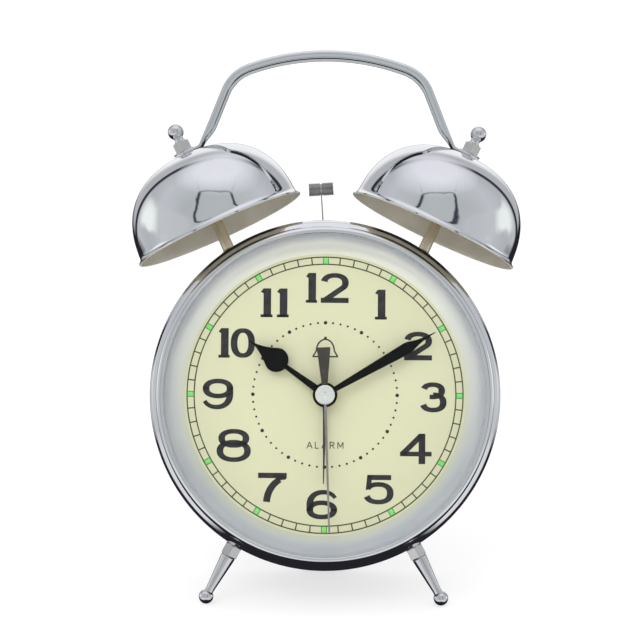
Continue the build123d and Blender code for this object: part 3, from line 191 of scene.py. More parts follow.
def surface(name, light, dark, rough, grain, metallic, bump=0.0, bump_grain=0.0, stretch=(1, 1, 1), **fixed):
    """Principled surface whose colour and roughness vary with a fine noise, with a slight bump.

    grain and bump_grain are noise scales per metre; rough is the lowest and highest roughness."""

    def build(nodes):
        place = nodes.add("TexCoord").outputs["Object"]
        place = nodes.add("Mapping", {"Vector": place, "Scale": stretch}).outputs["Vector"]
        value = nodes.noise(place, grain, 6.0, 0.6)
        inputs = {
            "Base Color": nodes.ramp(value, [(0.3, dark), (0.7, light)]),
            "Roughness": nodes.fade(value, 0.0, 1.0, *rough),
            "Metallic": metallic,
        }
        if bump:
            inputs["Normal"] = nodes.bump(nodes.noise(place, bump_grain, 3.0), bump, 0.0002)
        return nodes.principled({**inputs, **fixed})

    return material(name, build)


def turned_metal(name, light, dark, rough, pitch, depth, **fixed):
    """Metal with fine lathe rings round the Z of the frame that the piece was drawn in."""

    def build(nodes):
        place, parts, away = nodes.own_frame()
        rings = nodes.noise(nodes.flat(away, parts["Z"]), 1.0 / pitch, 4.0)
        blotch = nodes.noise(place, 90.0, 3.0)
        inputs = {
            "Base Color": nodes.ramp(blotch, [(0.35, dark), (0.65, light)]),
            "Roughness": nodes.fade(rings, 0.0, 1.0, *rough),
            "Metallic": 1.0,
            "Normal": nodes.bump(rings, depth),
        }
        return nodes.principled({**inputs, **fixed})

    return material(name, build)


def clear_glass(nodes):
    """Clear glass: what is behind shows through, and the front mirrors more towards the rim."""
    facing = nodes.add("LayerWeight", {"Blend": 0.5}).outputs["Facing"]
    steep = nodes.calculate("POWER", facing, 4.0)
    haze = nodes.noise(nodes.add("TexCoord").outputs["Object"], 60.0, 4.0)
    rough = nodes.fade(haze, 0.0, 1.0, 0.0, 0.04)
    gloss = nodes.principled({"Base Color": (0.95, 0.98, 0.97, 1.0), "Roughness": rough, "Metallic": 1.0})
    clear = nodes.add("BsdfTransparent", {"Color": (0.985, 0.995, 0.985, 1.0)}).outputs["BSDF"]
    share = nodes.fade(steep, 0.0, 1.0, 0.009, 0.75)
    return nodes.add("MixShader", {"Fac": share, 1: clear, 2: gloss}).outputs["Shader"]


def bell_inside(nodes):
    """Bare drawn metal inside a bell: pale near the lip, and painted near-black deep in the crown as painted
    shade, where the hollow of the bell lies in shade.
    """
    place, parts, away = nodes.own_frame()
    rings = nodes.noise(nodes.flat(away, parts["Z"]), 1100.0, 4.0)
    blotch = nodes.noise(place, 120.0, 5.0)
    # high is the height in the bell with a random wobble; from 13 to 18 mm the pale metal fades to the painted
    # shade of the crown, near-black (0.040, 0.033, 0.026).
    high = nodes.plus(parts["Z"], nodes.fade(blotch, 0.2, 0.8, -0.002, 0.002))
    pale = nodes.ramp(blotch, [(0.30, (0.84, 0.78, 0.64)), (0.70, (0.95, 0.90, 0.77))])
    inputs = {
        "Base Color": nodes.blend(nodes.fade(high, 0.0130, 0.0180), pale, (0.040, 0.033, 0.026)),
        "Roughness": nodes.fade(rings, 0.0, 1.0, 0.38, 0.55),
        "Metallic": 0.12,
        "Normal": nodes.bump(rings, 0.2),
    }
    return nodes.principled(inputs)


def pale_dish(nodes):
    """Bright satin sheet that takes on the dial's cream towards its inner edge, with painted light in its colour:
    a painted highlight, near white, towards the top, and painted shade, lilac-grey, towards the bottom and at its
    outer rim under the bezel's lip.
    """
    place, parts, away = nodes.own_frame()
    cloud = nodes.noise(place, 70.0, 3.0)
    across = nodes.fade(nodes.plus(away, nodes.fade(cloud, 0.2, 0.8, -0.0004, 0.0004)), 0.0424, 0.0476)
    # low holds the colours at the bottom of the ring, painted shade in lilac-grey; top holds the colours at the
    # top, a painted highlight near white that greys to painted shade at the outer rim under the lip.
    low = [(0.0, (0.65, 0.66, 0.56)), (0.23, (0.62, 0.63, 0.58)), (0.60, (0.56, 0.58, 0.66))]
    low = nodes.ramp(across, low + [(0.93, (0.59, 0.59, 0.73))])
    top = [(0.0, (0.97, 0.95, 0.80)), (0.23, (0.99, 0.96, 0.90)), (0.62, (1.0, 0.99, 1.0))]
    top = nodes.ramp(across, top + [(0.93, (0.60, 0.59, 0.72))])
    # rise tells how far up the ring a point sits; the colour goes from the painted shade at the bottom to the
    # painted highlight at the top.
    rise = nodes.over(nodes.times(parts["Y"], -1.0), away)
    colour = nodes.blend(nodes.fade(rise, -0.6, 1.0), low, top)
    return nodes.principled(
        {"Base Color": colour, "Roughness": nodes.fade(cloud, 0.0, 1.0, 0.26, 0.36), "Metallic": 0.30}
    )


# Each surface: light and dark colour, roughness, noise scale, metallic, and the bump and its scale.
CHROME = surface("chrome", (0.86, 0.87, 0.89), (0.8, 0.81, 0.84), (0.02, 0.075), 55, 1, 0.012, 260)
CHROME_FINE = surface("chrome_fine", (0.8, 0.8, 0.82), (0.7, 0.7, 0.72), (0.06, 0.16), 240, 1, 0.05, 900)
LINING = material("bell_lining", bell_inside)
POST_METAL = turned_metal("post_nickel", (0.88, 0.79, 0.63), (0.78, 0.69, 0.54), (0.16, 0.28), 0.003, 0.04)
HAMMER_STEEL = turned_metal("hammer_steel", (0.46, 0.45, 0.44), (0.34, 0.33, 0.33), (0.12, 0.28), 0.0008, 0.2)
NICKEL = turned_metal("satin_nickel", (0.74, 0.73, 0.72), (0.62, 0.61, 0.6), (0.16, 0.3), 0.0005, 0.25)
REFLECTOR = material("reflector_sheet", pale_dish)
SILVER = turned_metal(
    "turned_silver", (0.95, 0.95, 0.95), (0.86, 0.86, 0.86), (0.18, 0.32), 0.0003, 0.4, Metallic=0.6
)
DIAL = surface("dial_cream", (0.745, 0.72, 0.5), (0.715, 0.69, 0.475), (0.42, 0.58), 35, 0, 0.04, 2600)
INK = surface(
    "dial_ink", (0.044, 0.04, 0.047), (0.02, 0.018, 0.021), (0.35, 0.6), 420, 0, 0.05, 3000,
    **{"Specular IOR Level": 0.25},
)
TRACK_INK = surface("track_ink", (0.072, 0.082, 0.038), (0.038, 0.048, 0.02), (0.4, 0.6), 420, 0, 0.05, 3000)
LUME = surface("lume_green", (0.28, 0.84, 0.22), (0.19, 0.7, 0.15), (0.6, 0.8), 900, 0, 0.3, 6000)
LUME_EDGE = surface("lume_edge", (0.06, 0.26, 0.07), (0.03, 0.16, 0.04), (0.5, 0.7), 700, 0, 0.1, 3000)
HAND_BLACK = surface(
    "hand_black", (0.003, 0.003, 0.003), (0.0015, 0.0015, 0.0015), (0.22, 0.38), 300, 0, 0.08, 1500,
    **{"Specular IOR Level": 0.06},
)
HAND_GREY = surface("hand_grey", (0.36, 0.33, 0.32), (0.25, 0.23, 0.22), (0.28, 0.42), 500, 0.5, 0.08, 2200)
HAND_BROWN = surface("hand_brown", (0.06, 0.048, 0.04), (0.032, 0.026, 0.022), (0.25, 0.42), 500, 0, 0.08, 2200)
BLACK_PLASTIC = surface(
    "black_plastic", (0.036, 0.036, 0.038), (0.02, 0.02, 0.022), (0.4, 0.58), 700, 0, 0.35, 2600
)
MARK_PRINT = surface("mark_print", (0.42, 0.42, 0.41), (0.32, 0.32, 0.31), (0.5, 0.66), 900, 0, 0.1, 3000)
GASKET = surface("gasket_silicone", (0.66, 0.67, 0.68), (0.56, 0.57, 0.58), (0.4, 0.6), 500, 0, 0.2, 2000)
GLASS = material("lens_glass", clear_glass)

# The look of each material slot of the CAD nodes.
SLOT_LOOKS = {"chrome": CHROME, "glass": GLASS, "dial_cream": DIAL, "hand_black": HAND_BLACK}
SLOT_LOOKS |= {"black_plastic": BLACK_PLASTIC, "rubber": GASKET}
for slot_name, look_name, *look in (
    ("satin_nickel", "nickel_plain", (0.72, 0.71, 0.69), (0.6, 0.59, 0.58), (0.18, 0.32), 260, 1, 0.12, 1600),
    ("steel", "steel", (0.58, 0.58, 0.59), (0.44, 0.44, 0.45), (0.25, 0.45), 300, 1, 0.15, 1600),
    ("brass", "brass", (0.8, 0.62, 0.3), (0.66, 0.49, 0.22), (0.2, 0.36), 260, 1, 0.12, 1600),
    ("bright_ring", "bright_plain", (0.8, 0.8, 0.82), (0.72, 0.72, 0.74), (0.2, 0.32), 260, 1, 0.05, 1600),
    ("silver", "silver_plain", (0.88, 0.88, 0.88), (0.78, 0.78, 0.78), (0.15, 0.28), 300, 1, 0.08, 1800),
    ("white_plastic", "white_plastic", (0.8, 0.79, 0.74), (0.7, 0.69, 0.64), (0.4, 0.55), 400, 0, 0.2, 2200),
    ("board", "board_green", (0.05, 0.22, 0.1), (0.03, 0.15, 0.07), (0.3, 0.45), 350, 0, 0.1, 1800),
    ("copper", "copper_wire", (0.76, 0.36, 0.18), (0.55, 0.24, 0.11), (0.22, 0.38), 500, 1, 0.5, 2400, (1, 1, 9)),
    ("magnet", "magnet", (0.16, 0.16, 0.17), (0.09, 0.09, 0.1), (0.45, 0.6), 500, 1, 0.2, 2400),
    ("cell_jacket", "cell_jacket", (0.1, 0.13, 0.17), (0.07, 0.09, 0.12), (0.25, 0.36), 120, 0.3, 0.05, 900),
):
    SLOT_LOOKS[slot_name] = surface(look_name, *look)


# ------------------------------------------------------------------ mesh helpers
def placed(offset=(0, 0, 0), turn_y=0.0):
    """A frame in the clock's frame: moved by offset, then turned about Y by degrees."""
    return Matrix.Translation(Vector(offset)) @ Matrix.Rotation(math.radians(turn_y), 4, "Y")


UNMOVED = Matrix.Identity(4)
# A lathe draws round its own Z; this frame lays that axis along the dial axis.
DIAL_LATHE = Matrix(((1, 0, 0, 0), (0, 0, 1, 0), (0, -1, 0, 0), (0, 0, 0, 1)))
# A plate is drawn flat and raised along its own Z; this frame stands it up in the dial plane.
STANDING = Matrix(((1, 0, 0, 0), (0, 0, -1, 0), (0, 1, 0, 0), (0, 0, 0, 1)))


def finished(name, mesh, looks, replaces=(), place=UNMOVED, body="case", crease=32.0):
    """Each point keeps its place in the frame it was drawn in, for the marks that turning leaves."""
    for look in looks:
        mesh.materials.append(look)
    mesh.transform(Matrix.Scale(MM, 4))
    for polygon in mesh.polygons:
        polygon.use_smooth = True
    mesh.set_sharp_from_angle(angle=math.radians(crease))
    own = mesh.attributes.new(OWN, "FLOAT_VECTOR", "POINT")
    for item, vertex in zip(own.data, mesh.vertices):
        item.vector = vertex.co
    shift = place.copy()
    shift.translation = shift.translation * MM
    mesh.transform(CLOCK @ shift)
    piece = bpy.data.objects.new(name, mesh)
    bpy.context.scene.collection.objects.link(piece)
    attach(piece, body)
    if replaces:
        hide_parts(*replaces)


def mesh_from(work, name, weld=1e-4):
    bmesh.ops.remove_doubles(work, verts=work.verts, dist=weld)
    bmesh.ops.dissolve_degenerate(work, dist=weld / 2, edges=work.edges)
    bmesh.ops.recalc_face_normals(work, faces=work.faces)
    mesh = bpy.data.meshes.new(name)
    work.to_mesh(mesh)
    work.free()
    return mesh


def rounded(points, steps=5):
    """A profile of (r, h, corner radius) points, its corners replaced by short arcs."""
    out = []
    count = len(points)
    for index, point in enumerate(points):
        here = Vector(point[:2])
        radius = point[2] if len(point) > 2 else 0.0
        if radius <= 0:
            out.append(tuple(here))
            continue
        before = Vector(points[index - 1][:2]) - here
        after = Vector(points[(index + 1) % count][:2]) - here
        half = before.angle(after) / 2
        reach = min(radius / math.tan(half), before.length * 0.49, after.length * 0.49)
        start = here + before.normalized() * reach
        end = here + after.normalized() * reach
        for step in range(steps + 1):
            t = step / steps
            out.append(tuple(start * (1 - t) ** 2 + here * 2 * t * (1 - t) + end * t * t))
    return out


def skin(work, rings, wrap=True, skip=None, kinds=None):
    """Four-sided faces between neighbouring rings of points, and from the last to the first if wrap.

    skip tells which (ring, step) has no face, and kinds gives the material of each step."""
    for index in range(len(rings) if wrap else len(rings) - 1):
        a, b = rings[index], rings[(index + 1) % len(rings)]
        for step in range(len(a)):
            if skip is None or not skip(index, step):
                after = (step + 1) % len(a)
                face = work.faces.new((a[step], b[step], b[after], a[after]))
                if kinds is not None:
                    face.material_index = kinds(step)


def lathe_mesh(name, profiles, segments=192, ripple=None, kinds=None):
    """Turns each closed (r, h) profile round Z, its radius changed by ripple if there is one."""
    work = bmesh.new()
    for profile in profiles:
        rings = []
        for segment in range(segments):
            turn = 2 * math.pi * segment / segments
            ring = [(ripple(r, h, turn) if ripple else r, h) for r, h in profile]
            rings.append([work.verts.new((r * math.cos(turn), r * math.sin(turn), h)) for r, h in ring])
        on_axis = [profile[i - 1][0] < 1e-6 and profile[i][0] < 1e-6 for i in range(len(profile))]
        skin(work, rings, skip=lambda _, step: on_axis[(step + 1) % len(on_axis)], kinds=kinds)
    return mesh_from(work, name)


def lathe(
    name, profiles, look, replaces=(), segments=192,
    place=DIAL_LATHE, body="case", ripple=None, crease=32.0,
):
    """Turned piece: one or several closed (r, h) profiles round the Z of its frame."""
    profiles = profiles if isinstance(profiles[0], list) else [profiles]
    mesh = lathe_mesh(name, profiles, segments, ripple)
    finished(name, mesh, [look], replaces, place, body, crease)


def prism_mesh(name, outlines, low, high, bevel=0.0):
    """Closed outlines of (x, y) points, raised from low to high along Z, their rims bevelled.

    A pair (left, right) of equally long sides is a strip, filled with four-sided faces."""
    work = bmesh.new()
    for outline in outlines:
        strip = isinstance(outline, tuple)
        if strip:
            outline = outline[0] + outline[1][::-1]
        bottom = [work.verts.new((x, y, low)) for x, y in outline]
        top = [work.verts.new((x, y, high)) for x, y in outline]
        count = len(outline)
        if strip:
            for index in range(count // 2 - 1):
                back = count - 1 - index
                for row in (bottom, top):
                    work.faces.new((row[index], row[index + 1], row[back - 1], row[back]))
        else:
            work.faces.new(list(reversed(bottom)))
            work.faces.new(top)
        for index in range(count):
            after = (index + 1) % count
            work.faces.new((bottom[index], bottom[after], top[after], top[index]))
    if bevel:
        bmesh.ops.recalc_face_normals(work, faces=work.faces)
        level = [edge for edge in work.edges if abs(edge.verts[0].co.z - edge.verts[1].co.z) < 1e-6]
        rims = [edge for edge in level if edge.calc_face_angle(0.0) > 0.5]
        bmesh.ops.bevel(
            work, geom=rims, offset=bevel, segments=2, affect="EDGES", profile=0.5, clamp_overlap=True
        )
    big = [face for face in work.faces if len(face.verts) > 4]
    bmesh.ops.triangulate(work, faces=big)
    return mesh_from(work, name)


def joined(name, meshes, places):
    """One mesh from several, each moved by its own frame."""
    work = bmesh.new()
    for mesh, place in zip(meshes, places):
        mesh.transform(place)
        work.from_mesh(mesh)
        bpy.data.meshes.remove(mesh)
    out = bpy.data.meshes.new(name)
    work.to_mesh(out)
    work.free()
    return out


def bend(x, y, radius, start, end, count=12):
    """Points of a round corner about (x, y), by angle in degrees from +x towards +y."""
    turns = [math.radians(start + (end - start) * i / count) for i in range(count + 1)]
    return [(x + radius * math.cos(turn), y + radius * math.sin(turn)) for turn in turns]


def circle(x, y, radius, count=48):
    turns = [2 * math.pi * i / count for i in range(count)]
    return [(x + radius * math.cos(turn), y + radius * math.sin(turn)) for turn in turns]


def box(x0, x1, y0, y1):
    return [(x0, y0), (x1, y0), (x1, y1), (x0, y1)]


def plate(name, outlines, front_y, thick, look, replaces=(), body="case", bevel=0.0, turn=0.0):
    """Plate of (x, z) outlines in the dial plane, its front at front_y, turned by degrees."""
    mesh = prism_mesh(name, outlines, -front_y - thick, -front_y, bevel)
    mesh.transform(STANDING)
    finished(name, mesh, [look], replaces, placed(turn_y=turn), body)


# ------------------------------------------------------------------ case, bezel, glass, reflector
CASE_R, CASE_WALL = 52.6, 0.8
CASE_FRONT_Y, CASE_REAR_Y = -15.1, 21.0
CASE_MOUTH_R = 48.4
SLOT_HALF_X, SLOT_HALF_Y = 3.8, 1.2
CASE_SEGMENTS, SLOT_SEGMENTS = 256, 8


def case_mesh():
    """Drawn can with a rounded shoulder, a rolled rear edge and the hammer's slot in its top."""
    outer = rounded(
        [(CASE_MOUTH_R, CASE_FRONT_Y), (50.4, CASE_FRONT_Y, 0.25), (51.7, -14.28, 0.9),
         (CASE_R, -12.6, 1.2),
         (CASE_R, -SLOT_HALF_Y), (CASE_R, SLOT_HALF_Y), (CASE_R, CASE_REAR_Y, 0.3)], 10,
    )
    inner_r = CASE_R - CASE_WALL
    inner = rounded(
        [(inner_r, CASE_REAR_Y), (inner_r, SLOT_HALF_Y), (inner_r, -SLOT_HALF_Y),
         (inner_r, CASE_FRONT_Y + CASE_WALL, 1.5), (CASE_MOUTH_R, CASE_FRONT_Y + CASE_WALL)], 8,
    )
    profile = outer + inner
    half_turn = math.asin(SLOT_HALF_X / CASE_R)
    round_turn = 2 * math.pi
    wide = round_turn - 2 * half_turn
    turns = [half_turn + wide * i / CASE_SEGMENTS for i in range(CASE_SEGMENTS + 1)]
    turns += [half_turn * (1 - 2 * i / SLOT_SEGMENTS) for i in range(1, SLOT_SEGMENTS)]
    turns = sorted(set(round(turn % round_turn, 9) for turn in turns))
    count = len(turns)

    def in_slot(index, step):
        mid = (turns[index] + turns[(index + 1) % count] + (round_turn if index + 1 == count else 0)) / 2
        mid = (mid + math.pi) % round_turn - math.pi
        deep = max(abs(profile[step][1]), abs(profile[(step + 1) % len(profile)][1]))
        return abs(mid) < half_turn and deep <= SLOT_HALF_Y + 1e-6

    work = bmesh.new()
    rings = [[work.verts.new((r * math.sin(t), y, r * math.cos(t))) for r, y in profile] for t in turns]
    skin(work, rings, skip=in_slot)
    bmesh.ops.bridge_loops(work, edges=[edge for edge in work.edges if edge.is_boundary])
    return mesh_from(work, "case_band")


finished("case_band", case_mesh(), [CHROME], ["case_shell"])

LIP_R, LIP_ROUND, LIP_RIPPLE = 48.5, 0.4, 0.035


def pressed_lip(r, h, turn):
    """The bezel's inner lip was rolled over the glass, so it isn't quite even."""
    if r > LIP_R or h > -18.5:
        return r
    wave = math.sin(61 * turn) + 0.7 * math.sin(97 * turn + 1.3) + 0.5 * math.sin(139 * turn + 0.7)
    return r + LIP_RIPPLE * wave * (LIP_R - r) / LIP_ROUND


BEZEL = [(50.3, -15.15)] + bend(48.6, -17.7, 1.7, 0, -90, 20) + bend(LIP_R, -19.0, LIP_ROUND, -90, -180, 8)
BEZEL += [(48.1, -18.3), (49.5, -18.3), (49.5, -15.15)]
lathe("bezel_chrome", BEZEL, CHROME, ["bezel_ring"], 480, ripple=pressed_lip)


def arc_between(start, end, sag, count=24):
    """Points of an arc from start to end that bows by sag, to the left of the way there."""
    start, end = Vector(start), Vector(end)
    chord = end - start
    side = Vector((-chord.y, chord.x)).normalized() * sag
    shares = [i / count for i in range(count + 1)]
    return [tuple(start + chord * t + side * (4 * t * (1 - t))) for t in shares]


LENS_R, LENS_RISE, LENS_STEPS = 48.0, 3.15, 40
DOME_R = (LENS_R**2 + LENS_RISE**2) / (2 * LENS_RISE)


def lens_face(apex_y):
    """One face of the glass, from its apex to its rim."""
    radii = [LENS_R * i / LENS_STEPS for i in range(LENS_STEPS + 1)]
    return [(r, apex_y + DOME_R - math.sqrt(DOME_R**2 - r**2)) for r in radii]


LENS = lens_face(-21.4) + [(49.3, -18.25), (49.3, -16.75)] + lens_face(-19.9)[::-1]
lathe("lens_dome", LENS, GLASS, ["lens"])
DISH = arc_between((47.6, -16.15), (42.4, -11.05), -0.8) + arc_between((43.0, -11.05), (48.2, -15.15), 0.8)
DISH += [(49.3, -15.15), (49.3, -16.15)]
lathe("reflector_dish", DISH, REFLECTOR, ["reflector_ring"], 256)
DISC = rounded([(2.8, -11.0), (46.5, -11.0, 0.1), (46.5, -10.5, 0.1), (2.8, -10.5)])
lathe("dial_disc", DISC, DIAL, ["dial_plate"])

# ------------------------------------------------------------------ what is printed on the dial
PRINT_Y = -11.03
PRINT_THICK = 0.025
TRACK_OUTER = 41.5
TRACK_INNER = 39.35
TRACK_LINE = 0.37
LUME_WIDTH = 1.75
DOT_RING_R = 21.7


def ring_profile(middle):
    """A printed circle's section."""
    return box(middle - TRACK_LINE / 2, middle + TRACK_LINE / 2, PRINT_Y, PRINT_Y + PRINT_THICK)


def on_dial(angle, radius, across=0.0):
    """Point at a clock angle and radius, moved across it to the right."""
    s, c = math.sin(math.radians(angle)), math.cos(math.radians(angle))
    return radius * s + across * c, radius * c - across * s


def sector(angle, low, high, width):
    """A bar along the radius at a clock angle."""
    half = width / 2
    ends = ((low, -half), (low, half), (high, half), (high, -half))
    return [on_dial(angle, radius, across) for radius, across in ends]


def printed(name, outlines, look, lift=0.0):
    """Print on the dial, its front brought forward by lift so that no two prints share a face."""
    plate(name, outlines, PRINT_Y - lift, PRINT_THICK, look)


tracks = [ring_profile(TRACK_INNER), ring_profile(TRACK_OUTER)]
lathe("track_lines", tracks, TRACK_INK, (), 240)
HOURS = [30 * i for i in range(12)]
ticks = [sector(6 * i, TRACK_INNER, TRACK_OUTER, TRACK_LINE) for i in range(60) if i % 5]
printed("track_ticks", ticks, TRACK_INK, 0.004)
frames = [sector(angle, TRACK_INNER - 0.05, TRACK_OUTER + 0.05, LUME_WIDTH) for angle in HOURS]
printed("lume_frames", frames, LUME_EDGE, 0.006)
squares = [sector(angle, TRACK_INNER + 0.22, TRACK_OUTER - 0.22, LUME_WIDTH - 0.44) for angle in HOURS]
plate("lume_squares", squares, PRINT_Y - 0.06, 0.07, LUME, bevel=0.02)
dots = [circle(*on_dial(6 * i, DOT_RING_R), 0.32 if i % 5 else 0.55, 24) for i in range(60)]
printed("dot_ring", dots, INK)

# Numerals are drawn with a broad nib: upright strokes come out wide and level strokes narrow.
NIB_WIDE = 2.0
NIB_LEVEL = 1.38


def oval(x, y, rx, ry, start, end, count=28, power=2.0):
    """Points along an oval, by angle in degrees from +x towards +y."""
    points = []
    for c, s in bend(0, 0, 1, start, end, count):
        out, up = math.copysign(abs(c) ** (2 / power), c), math.copysign(abs(s) ** (2 / power), s)
        points.append((x + rx * out, y + ry * up))
    return points


def stroke(points, wide=NIB_WIDE, level=NIB_LEVEL, taper=None):
    """The two sides of a pen stroke along a line of points, as wide as the nib makes it."""
    sides = []
    count = len(points)
    for index, point in enumerate(points):
        before = Vector(points[max(0, index - 1)])
        after = Vector(points[min(count - 1, index + 1)])
        along = (after - before).normalized()
        width = math.hypot(wide * along.y, level * along.x)
        if taper is not None:
            width *= taper(index / (count - 1))
        side = Vector((-along.y, along.x)) * width / 2
        sides.append((Vector(point) + side, Vector(point) - side))
    return [tuple(left) for left, _ in sides], [tuple(right) for _, right in sides]


def line(start, end, count=1):
    (x0, y0), (x1, y1) = start, end
    return [(x0 + (x1 - x0) * i / count, y0 + (y1 - y0) * i / count) for i in range(count + 1)]


def moved(outline, x, y, scale=1):
    """An outline or strip, scaled and moved."""
    if isinstance(outline, tuple):
        return moved(outline[0], x, y, scale), moved(outline[1], x, y, scale)
    return [(x + scale * px, y + scale * py) for px, py in outline]


def loop(y, rx, ry, power=2.2):
    """An upright closed oval, as two pen strokes."""
    return [stroke(oval(0, y, rx, ry, start, start + 180, power=power)) for start in (90, 270)]


def digit(figure, w, h):
    """Outlines of one figure in a box of width w and height h about the origin."""
    rx = w / 2 - NIB_WIDE / 2
    top = h / 2 - NIB_LEVEL / 2
    if figure == "0":
        return loop(0, rx, top, 2.3)
    if figure == "1":
        stem = 1.15
        flag = [(-w / 2, h / 2 - 1.1), (-stem + 0.3, h / 2 - 1.5)]
        flag += [(-stem + 0.3, h / 2), (-w / 2 + 0.5, h / 2 - 0.4)]
        serif = box(-w / 2, w / 2 + 0.1, -h / 2, -h / 2 + 0.85)
        return [box(-stem + 0.25, stem + 0.25, -h / 2, h / 2), serif, flag]
    if figure == "2":
        ry = h * 0.245
        bowl = oval(0, top - ry, rx, ry, 172, -38, 36, 2.2)
        foot_in = (-rx * 0.86, -top + 0.30)
        foot = box(-w / 2, w / 2, -h / 2, -h / 2 + NIB_LEVEL * 1.12)
        return [stroke(bowl + line(bowl[-1], foot_in, 6)[1:]), foot]
    if figure == "3":
        up_r, low_r = h * 0.205, h * 0.255
        return [
            stroke(oval(-0.1, top - up_r, rx * 0.88, up_r, 165, -90, 36, 2.3)),
            stroke(oval(0, -top + low_r, rx, low_r, 90, -165, 36, 2.3)),
            box(-rx * 0.35, 0.1, top - 2 * up_r - NIB_LEVEL / 2, top - 2 * up_r + NIB_LEVEL / 2),
        ]
    if figure == "4":
        stem_x = w * 0.20
        bar_y = -h * 0.17
        return [
            box(stem_x - 1.0, stem_x + 1.0, -h / 2, h / 2),
            box(-w / 2 + 0.2, w / 2, bar_y - NIB_LEVEL / 2, bar_y + NIB_LEVEL / 2),
            stroke(line((-w / 2 + 0.95, bar_y), (stem_x - 0.3, top + 0.1), 4), 1.9, 1.3),
        ]
    if figure == "5":
        low_r = h * 0.30
        return [
            box(-w * 0.36, w * 0.42, h / 2 - NIB_LEVEL * 1.1, h / 2),
            [(-w * 0.36, h / 2), (-w * 0.36 + 1.55, h / 2), (-w * 0.40 + 1.35, 0.15), (-w * 0.41, -0.15)],
            stroke(oval(0, -top + low_r, rx, low_r, 148, -162, 44, 2.3)),
        ]
    if figure in "69":
        low_r = h * 0.32 - NIB_LEVEL / 2
        bowl_y = -top + low_r
        back = oval(0.45, 0, rx + 0.45, top, 180, 30, 32, 2.2)
        outlines = [
            *[stroke(oval(0, bowl_y, rx, low_r, start, start + 196, 32, 2.2)) for start in (-8, 172)],
            stroke([(-rx, bowl_y)] + back, taper=lambda t: 1.0 if t < 0.6 else 1.0 - 0.9 * (t - 0.6)),
        ]
        if figure == "9":
            outlines = [moved(outline, 0, 0, -1) for outline in outlines]
        return outlines
    if figure == "7":
        bar = box(-w / 2, w / 2, h / 2 - NIB_LEVEL * 1.15, h / 2)
        leg = stroke(oval(w / 2 + 1.4, -h * 0.50, w * 0.86, h * 0.88, 178, 118, 12), 2.1, 1.8)
        knee = moved([(-2.3, -1.0), (0, -1.0), (-0.3, -2.0), (-2.6, -2.3)], w / 2, h / 2)
        return [bar, leg, knee]
    up_r = h * 0.215
    low_r = h * 0.265
    return loop(top - up_r, rx * 0.88, up_r) + loop(-top + low_r, rx, low_r)


# Each numeral: its centre on the dial, its height, and its figures with their offset and width.
NUMERALS = {
    "12": ((0.4, 32.2), 9.0, [("1", -4.75, 3.3), ("2", 2.3, 8.4)]),
    "1": ((16.6, 27.3), 9.0, [("1", 0.0, 3.5)]),
    "2": ((27.9, 14.9), 8.6, [("2", 0.0, 8.4)]),
    "3": ((32.5, -0.5), 9.0, [("3", 0.0, 8.1)]),
    "4": ((27.3, -16.0), 9.1, [("4", 0.0, 9.7)]),
    "5": ((16.2, -28.3), 8.8, [("5", 0.0, 9.2)]),
    "6": ((-0.7, -32.9), 8.8, [("6", 0.0, 9.2)]),
    "7": ((-15.6, -28.0), 9.0, [("7", 0.0, 8.6)]),
    "8": ((-27.3, -15.4), 9.9, [("8", 0.0, 10.3)]),
    "9": ((-32.2, 0.0), 9.2, [("9", 0.0, 9.2)]),
    "10": ((-26.7, 15.4), 8.9, [("1", -3.85, 3.3), ("0", 1.85, 7.3)]),
    "11": ((-15.4, 27.6), 8.7, [("1", -2.45, 3.5), ("1", 2.45, 3.5)]),
}
for numeral, ((x, z), height, figures) in NUMERALS.items():
    outlines = []
    for figure, offset, width in figures:
        outlines += [moved(outline, x + offset, z) for outline in digit(figure, width, height)]
    printed("numeral_" + numeral, outlines, INK)


def drawn(lines, width):
    """Even pen strokes along several lines of points."""
    return [stroke(points, width, width) for points in lines]


LETTERS = {
    "A": [[(0, 0), (0.42, 1)], [(0.42, 1), (0.84, 0)], [(0.16, 0.36), (0.68, 0.36)]],
    "L": [[(0.05, 1), (0.05, 0)], [(0.0, 0.03), (0.6, 0.03)]],
    "R": [[(0.05, 0), (0.05, 1)], [(0.36, 0.5), (0.72, 0)],
          [(0.05, 0.97)] + oval(0.36, 0.74, 0.3, 0.23, 90, -90, 10) + [(0.05, 0.51)]],
    "M": [[(0.05, 0), (0.05, 1)], [(0.05, 1), (0.45, 0.2)], [(0.45, 0.2), (0.85, 1)], [(0.85, 1), (0.85, 0)]],
}
WORD_Z, LETTER_HEIGHT, LETTER_LINE, LETTER_SPACING = -16.1, 1.95, 0.26, 1.12
word = []
pen = -5.35
for letter, advance in (("A", 1.12), ("L", 0.92), ("A", 1.12), ("R", 1.06), ("M", 0.9)):
    word += drawn([moved(points, pen, WORD_Z, LETTER_HEIGHT) for points in LETTERS[letter]], LETTER_LINE)
    pen += advance * LETTER_HEIGHT * LETTER_SPACING
printed("alarm_word", word, TRACK_INK)

bell_side = [(-3.7, 11.6)] + oval(0, 13.2, 2.7, 3.5, 180, 0) + [(3.7, 11.6)]
bell_print = drawn([bell_side, [(-3.85, 11.5), (3.85, 11.5)]], 0.42)
bell_print += [circle(0, 10.6, 0.62, 20), circle(0, 17.1, 0.45, 20)]
printed("bell_mark", bell_print, INK)

# ------------------------------------------------------------------ hands
HAND_SHEET = 0.3
HOUR_ANGLE, MINUTE_ANGLE, SECOND_ANGLE, ALARM_ANGLE = 305.3, 60.0, 177.8, 180.6


def mirrored(right_side):
    """A closed outline from its right-hand side, which runs from the foot to the tip."""
    return right_side + [(-x, y) for x, y in reversed(right_side) if abs(x) > 1e-6]


